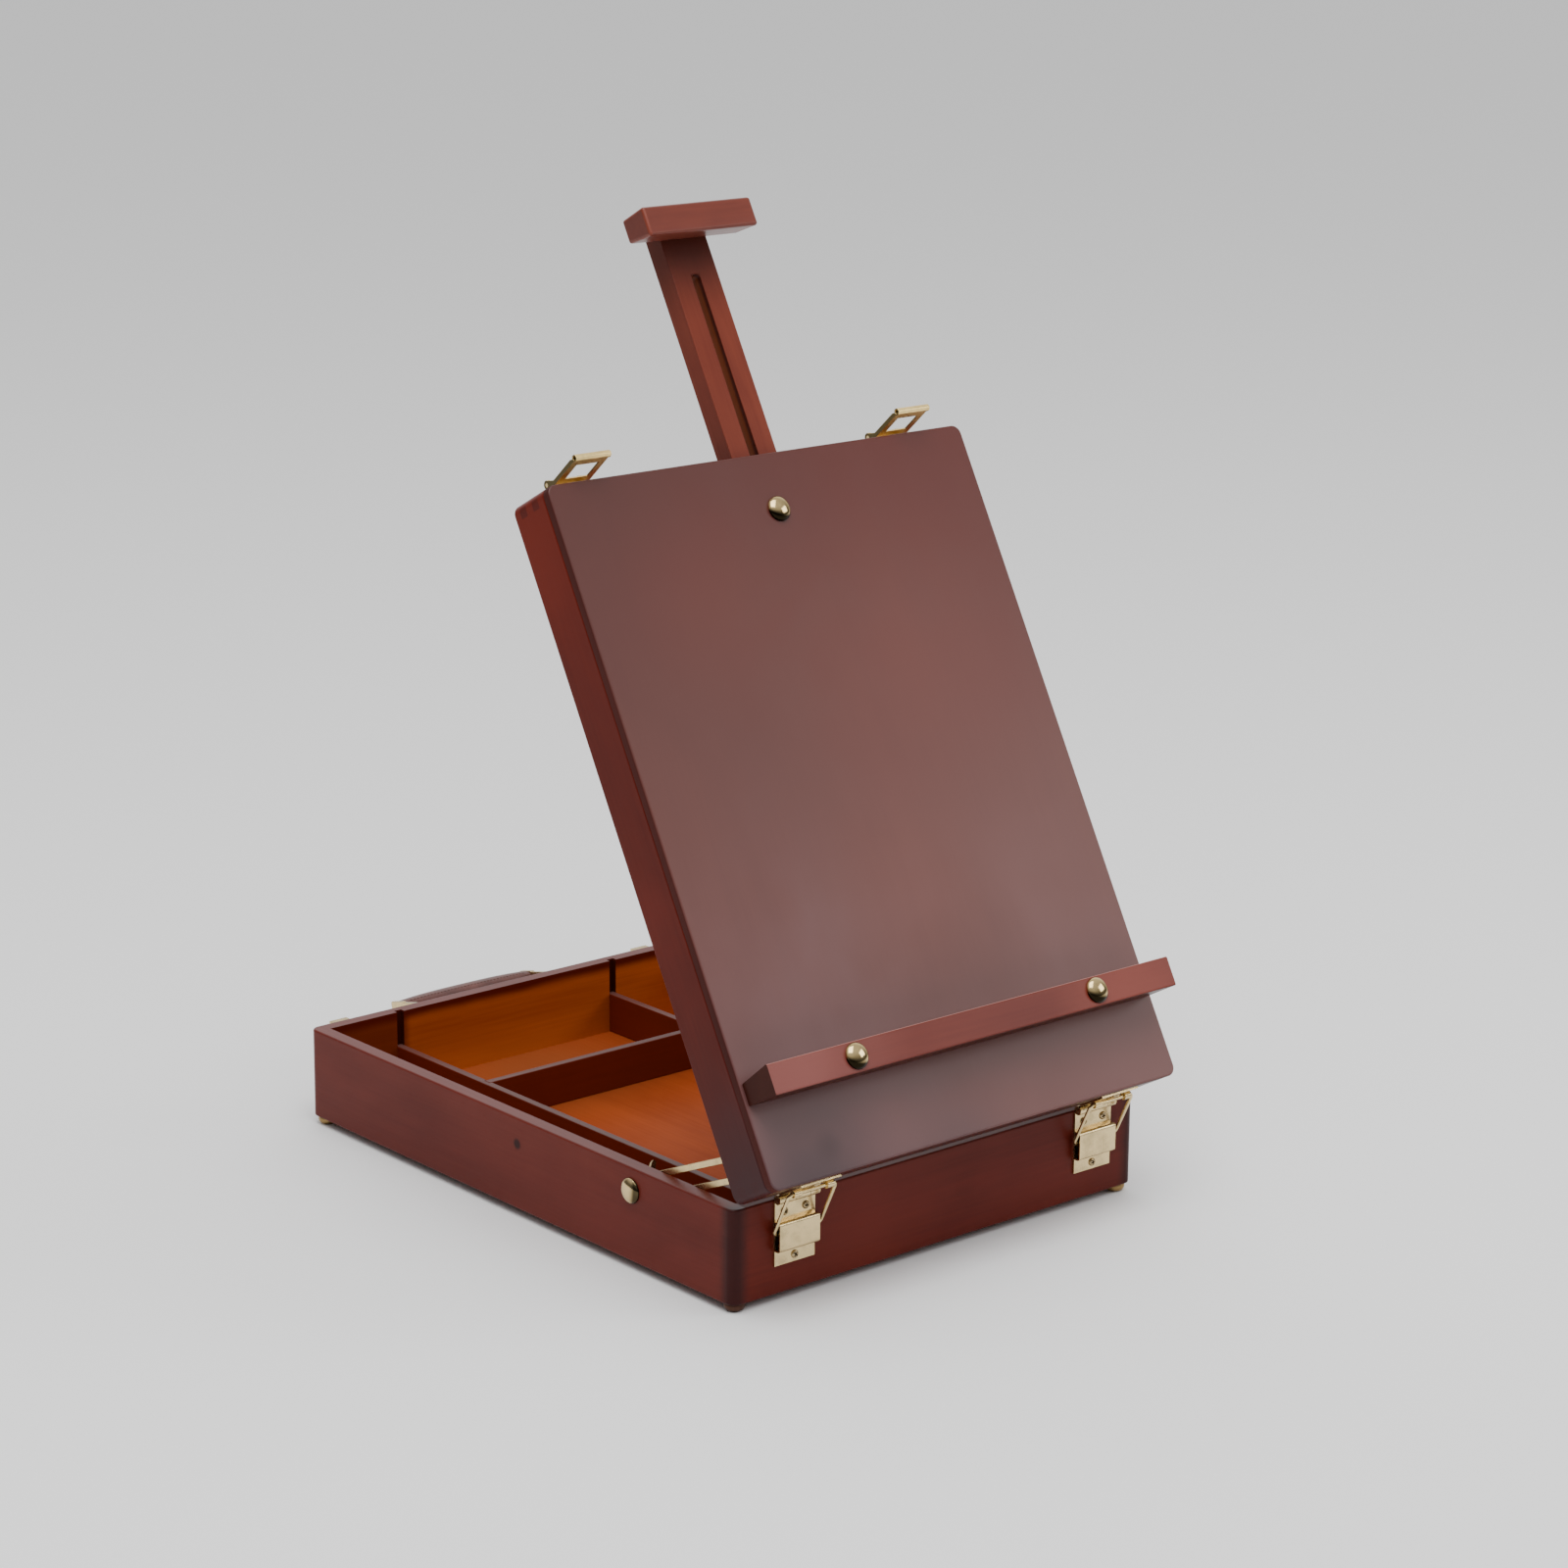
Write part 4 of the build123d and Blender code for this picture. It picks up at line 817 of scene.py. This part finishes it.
# the feet's darker brass is painted reflection, and painted shade on the front left one
paint(REFLECTING_FOOT_BRASS, "foot_front_right", "foot_rear_left", "foot_rear_right")
paint(SHADOWED_FOOT_BRASS, "foot_front_left")
domed_bolts("stay_bolts", outward, shank=0.0016, height=0.72, material=SIDE_POLISHED)
domed_bolts("mast_bolt", lambda place: BOARD_OUT, shank=0.0025, height=0.8)
domed_bolts("ledge_bolts", lambda place: BOARD_OUT, shank=0.0025, height=0.84)
screws("hinge_screws_tray", lambda place: -LENGTH)
screws("hinge_screws_lid", lambda place: -BOARD_UP)
screws("hasp_screws", lambda place: BOARD_UP)
screws("rear_screws", lambda place: LENGTH)
screws("stay_screws", outward, shank=0.0014, cross=False)
for node in frame["nodes"]:
    if "wing_nut" in node:
        softened(node, 0.0006, PALE_BRASS)


# ---- carrying handle -----------------------------------------------------------------------
HANDLE_TILT = math.radians(-13.5)
GRIP_REACH = Vector((0, math.cos(HANDLE_TILT), math.sin(HANDLE_TILT)))
GRIP_RISE = Vector((0, -GRIP_REACH.z, GRIP_REACH.y))
HANDLE_PIVOT = Vector((-0.0078, 0.17665, 0.0476))
GRIP_MIDDLE = HANDLE_PIVOT + GRIP_REACH * 0.030
GRIP_HALF = 0.0434
GRIP_WIDE = 0.0069
GRIP_THICK = 0.0034
GRIP_NARROWING = 0.28
GRIP_THINNING = 0.35
STITCH_ANGLE = 0.82
STITCHES_EACH_WAY = 17
STITCH_STEPS = 19
STITCH_DEPTH = 0.0001


def grip_point(along, angle):
    """A point on the grip's skin, an oval tube that thins towards its ends: along is -1 to 1
    from end to end, and angle goes round the tube."""
    wide = GRIP_WIDE * (1 - GRIP_NARROWING * abs(along) ** 3)
    thick = GRIP_THICK * (1 - GRIP_THINNING * abs(along) ** 3)
    turn_x, turn_y = math.cos(angle), math.sin(angle)
    out = math.copysign(abs(turn_x) ** 0.8, turn_x) * wide
    up = math.copysign(abs(turn_y) ** 1.05, turn_y) * thick
    return (GRIP_MIDDLE + ACROSS * (along * GRIP_HALF) + GRIP_REACH * out + GRIP_RISE * up)


def tube_sides(stations, around):
    """The side faces of a tube of stations + 1 rings, each of as many points as around."""
    faces = []
    for ring in range(stations):
        for spoke in range(around):
            after = (spoke + 1) % around
            near, far = ring * around, (ring + 1) * around
            faces.append((near + spoke, near + after, far + after, far + spoke))
    return faces


def stitch_shape():
    """One stitch: a short arched thread lying along the grip."""
    stations, around, length, radius, arch = 8, 8, 0.0017, 0.00022, 0.0003
    verts = []
    for station in range(stations + 1):
        run = station / stations - 0.5
        lift = arch * (1 - (2 * run) ** 2) - STITCH_DEPTH
        for spoke in range(around):
            turn = math.tau * spoke / around
            verts.append(Vector((radius * math.cos(turn), run * length,
                                 lift + radius * math.sin(turn))))
    first, last = range(around), range(stations * around, (stations + 1) * around)
    faces = tube_sides(stations, around) + [tuple(reversed(first)), tuple(last)]
    return mesh_of("stitch_one", verts, faces)


def make_grip():
    """The leather grip, and a row of stitches along each of its long edges."""
    stations, around = 64, 40
    verts = [grip_point(2 * station / stations - 1, math.tau * spoke / around)
             for station in range(stations + 1) for spoke in range(around)]
    first, last = range(around), range(stations * around, (stations + 1) * around)
    faces = tube_sides(stations, around) + [tuple(first), tuple(reversed(last))]
    new_piece("handle_grip_leather", mesh_of("handle_grip_leather", verts, faces, GRIP_LEATHER),
              "handle", ("handle_grip",))
    seats = []
    for side in (STITCH_ANGLE, math.pi - STITCH_ANGLE):
        for count in range(-STITCHES_EACH_WAY, STITCHES_EACH_WAY + 1):
            along = count / STITCH_STEPS
            place = grip_point(along, side)
            normal = (place - GRIP_MIDDLE - ACROSS * (along * GRIP_HALF)).normalized()
            seats.append((place - normal * STITCH_DEPTH, normal, 0.0))
    mesh = scattered("handle_stitches", stitch_shape(), seats, GRIP_THREAD)
    new_piece("handle_stitches", mesh, "handle")


make_grip()


# ---- stage ---------------------------------------------------------------------------------
PAPER = (0.93, 0.93, 0.93, 1)


def make_stage():
    """A wide sheet of pale paper under the object."""
    mesh = bpy.data.meshes.new("floor_stage")
    half = 16
    corners = [(-half, -half, 0), (half, -half, 0), (half, half, 0), (-half, half, 0)]
    mesh.from_pydata(corners, [], [(0, 1, 2, 3)])
    floor = bpy.data.objects.new("floor_stage", mesh)
    bpy.context.collection.objects.link(floor)
    shader = Shader("stage_paper")
    mesh.materials.append(shader.finish(Base_Color=PAPER, Roughness=0.9))


def area_light(name, place, target, size, power):
    """A rectangular lamp of size at place, turned to target."""
    data = bpy.data.lights.new(name, "AREA")
    data.shape = "RECTANGLE"
    data.size, data.size_y = size
    data.energy = power
    light = bpy.data.objects.new(name, data)
    bpy.context.collection.objects.link(light)
    light.location = place
    light.rotation_euler = (Vector(target) - Vector(place)).to_track_quat("-Z", "Y").to_euler()


CEILING_GLOW = 0.75
WALL_GLOW = 0.7
ROOM_GLOW = 0.12
BACK_WALL = Vector((0.65, 0.76, 0))


def make_world():
    """A dim room with a bright ceiling and a bright wall behind the object."""
    world = bpy.data.worlds.new("studio")
    bpy.context.scene.world = world
    world.use_nodes = True
    tree = Tree(world.node_tree)
    direction = tree.node("ShaderNodeTexCoord", out="Generated")
    height = tree.node("ShaderNodeSeparateXYZ", None, {0: direction}, out="Z")
    ceiling = height.rising(0.10, 0.85) * CEILING_GLOW
    wall = tree.along(direction, BACK_WALL).rising(0.35, 0.8) * WALL_GLOW
    background = tree.nodes["Background"]
    tree.connect(background.inputs["Strength"], ceiling + wall + ROOM_GLOW)
    tree.connect(background.inputs["Color"], (1, 1, 1, 1))


make_stage()
make_world()
area_light("soft_top", (-0.5, -0.7, 2.6), target=(0, 0, 0.1), size=(2.0, 2.0), power=62)
area_light("soft_front", (1.9, -1.7, 1.25), target=(0, 0, 0.2), size=(1.2, 0.9), power=15)
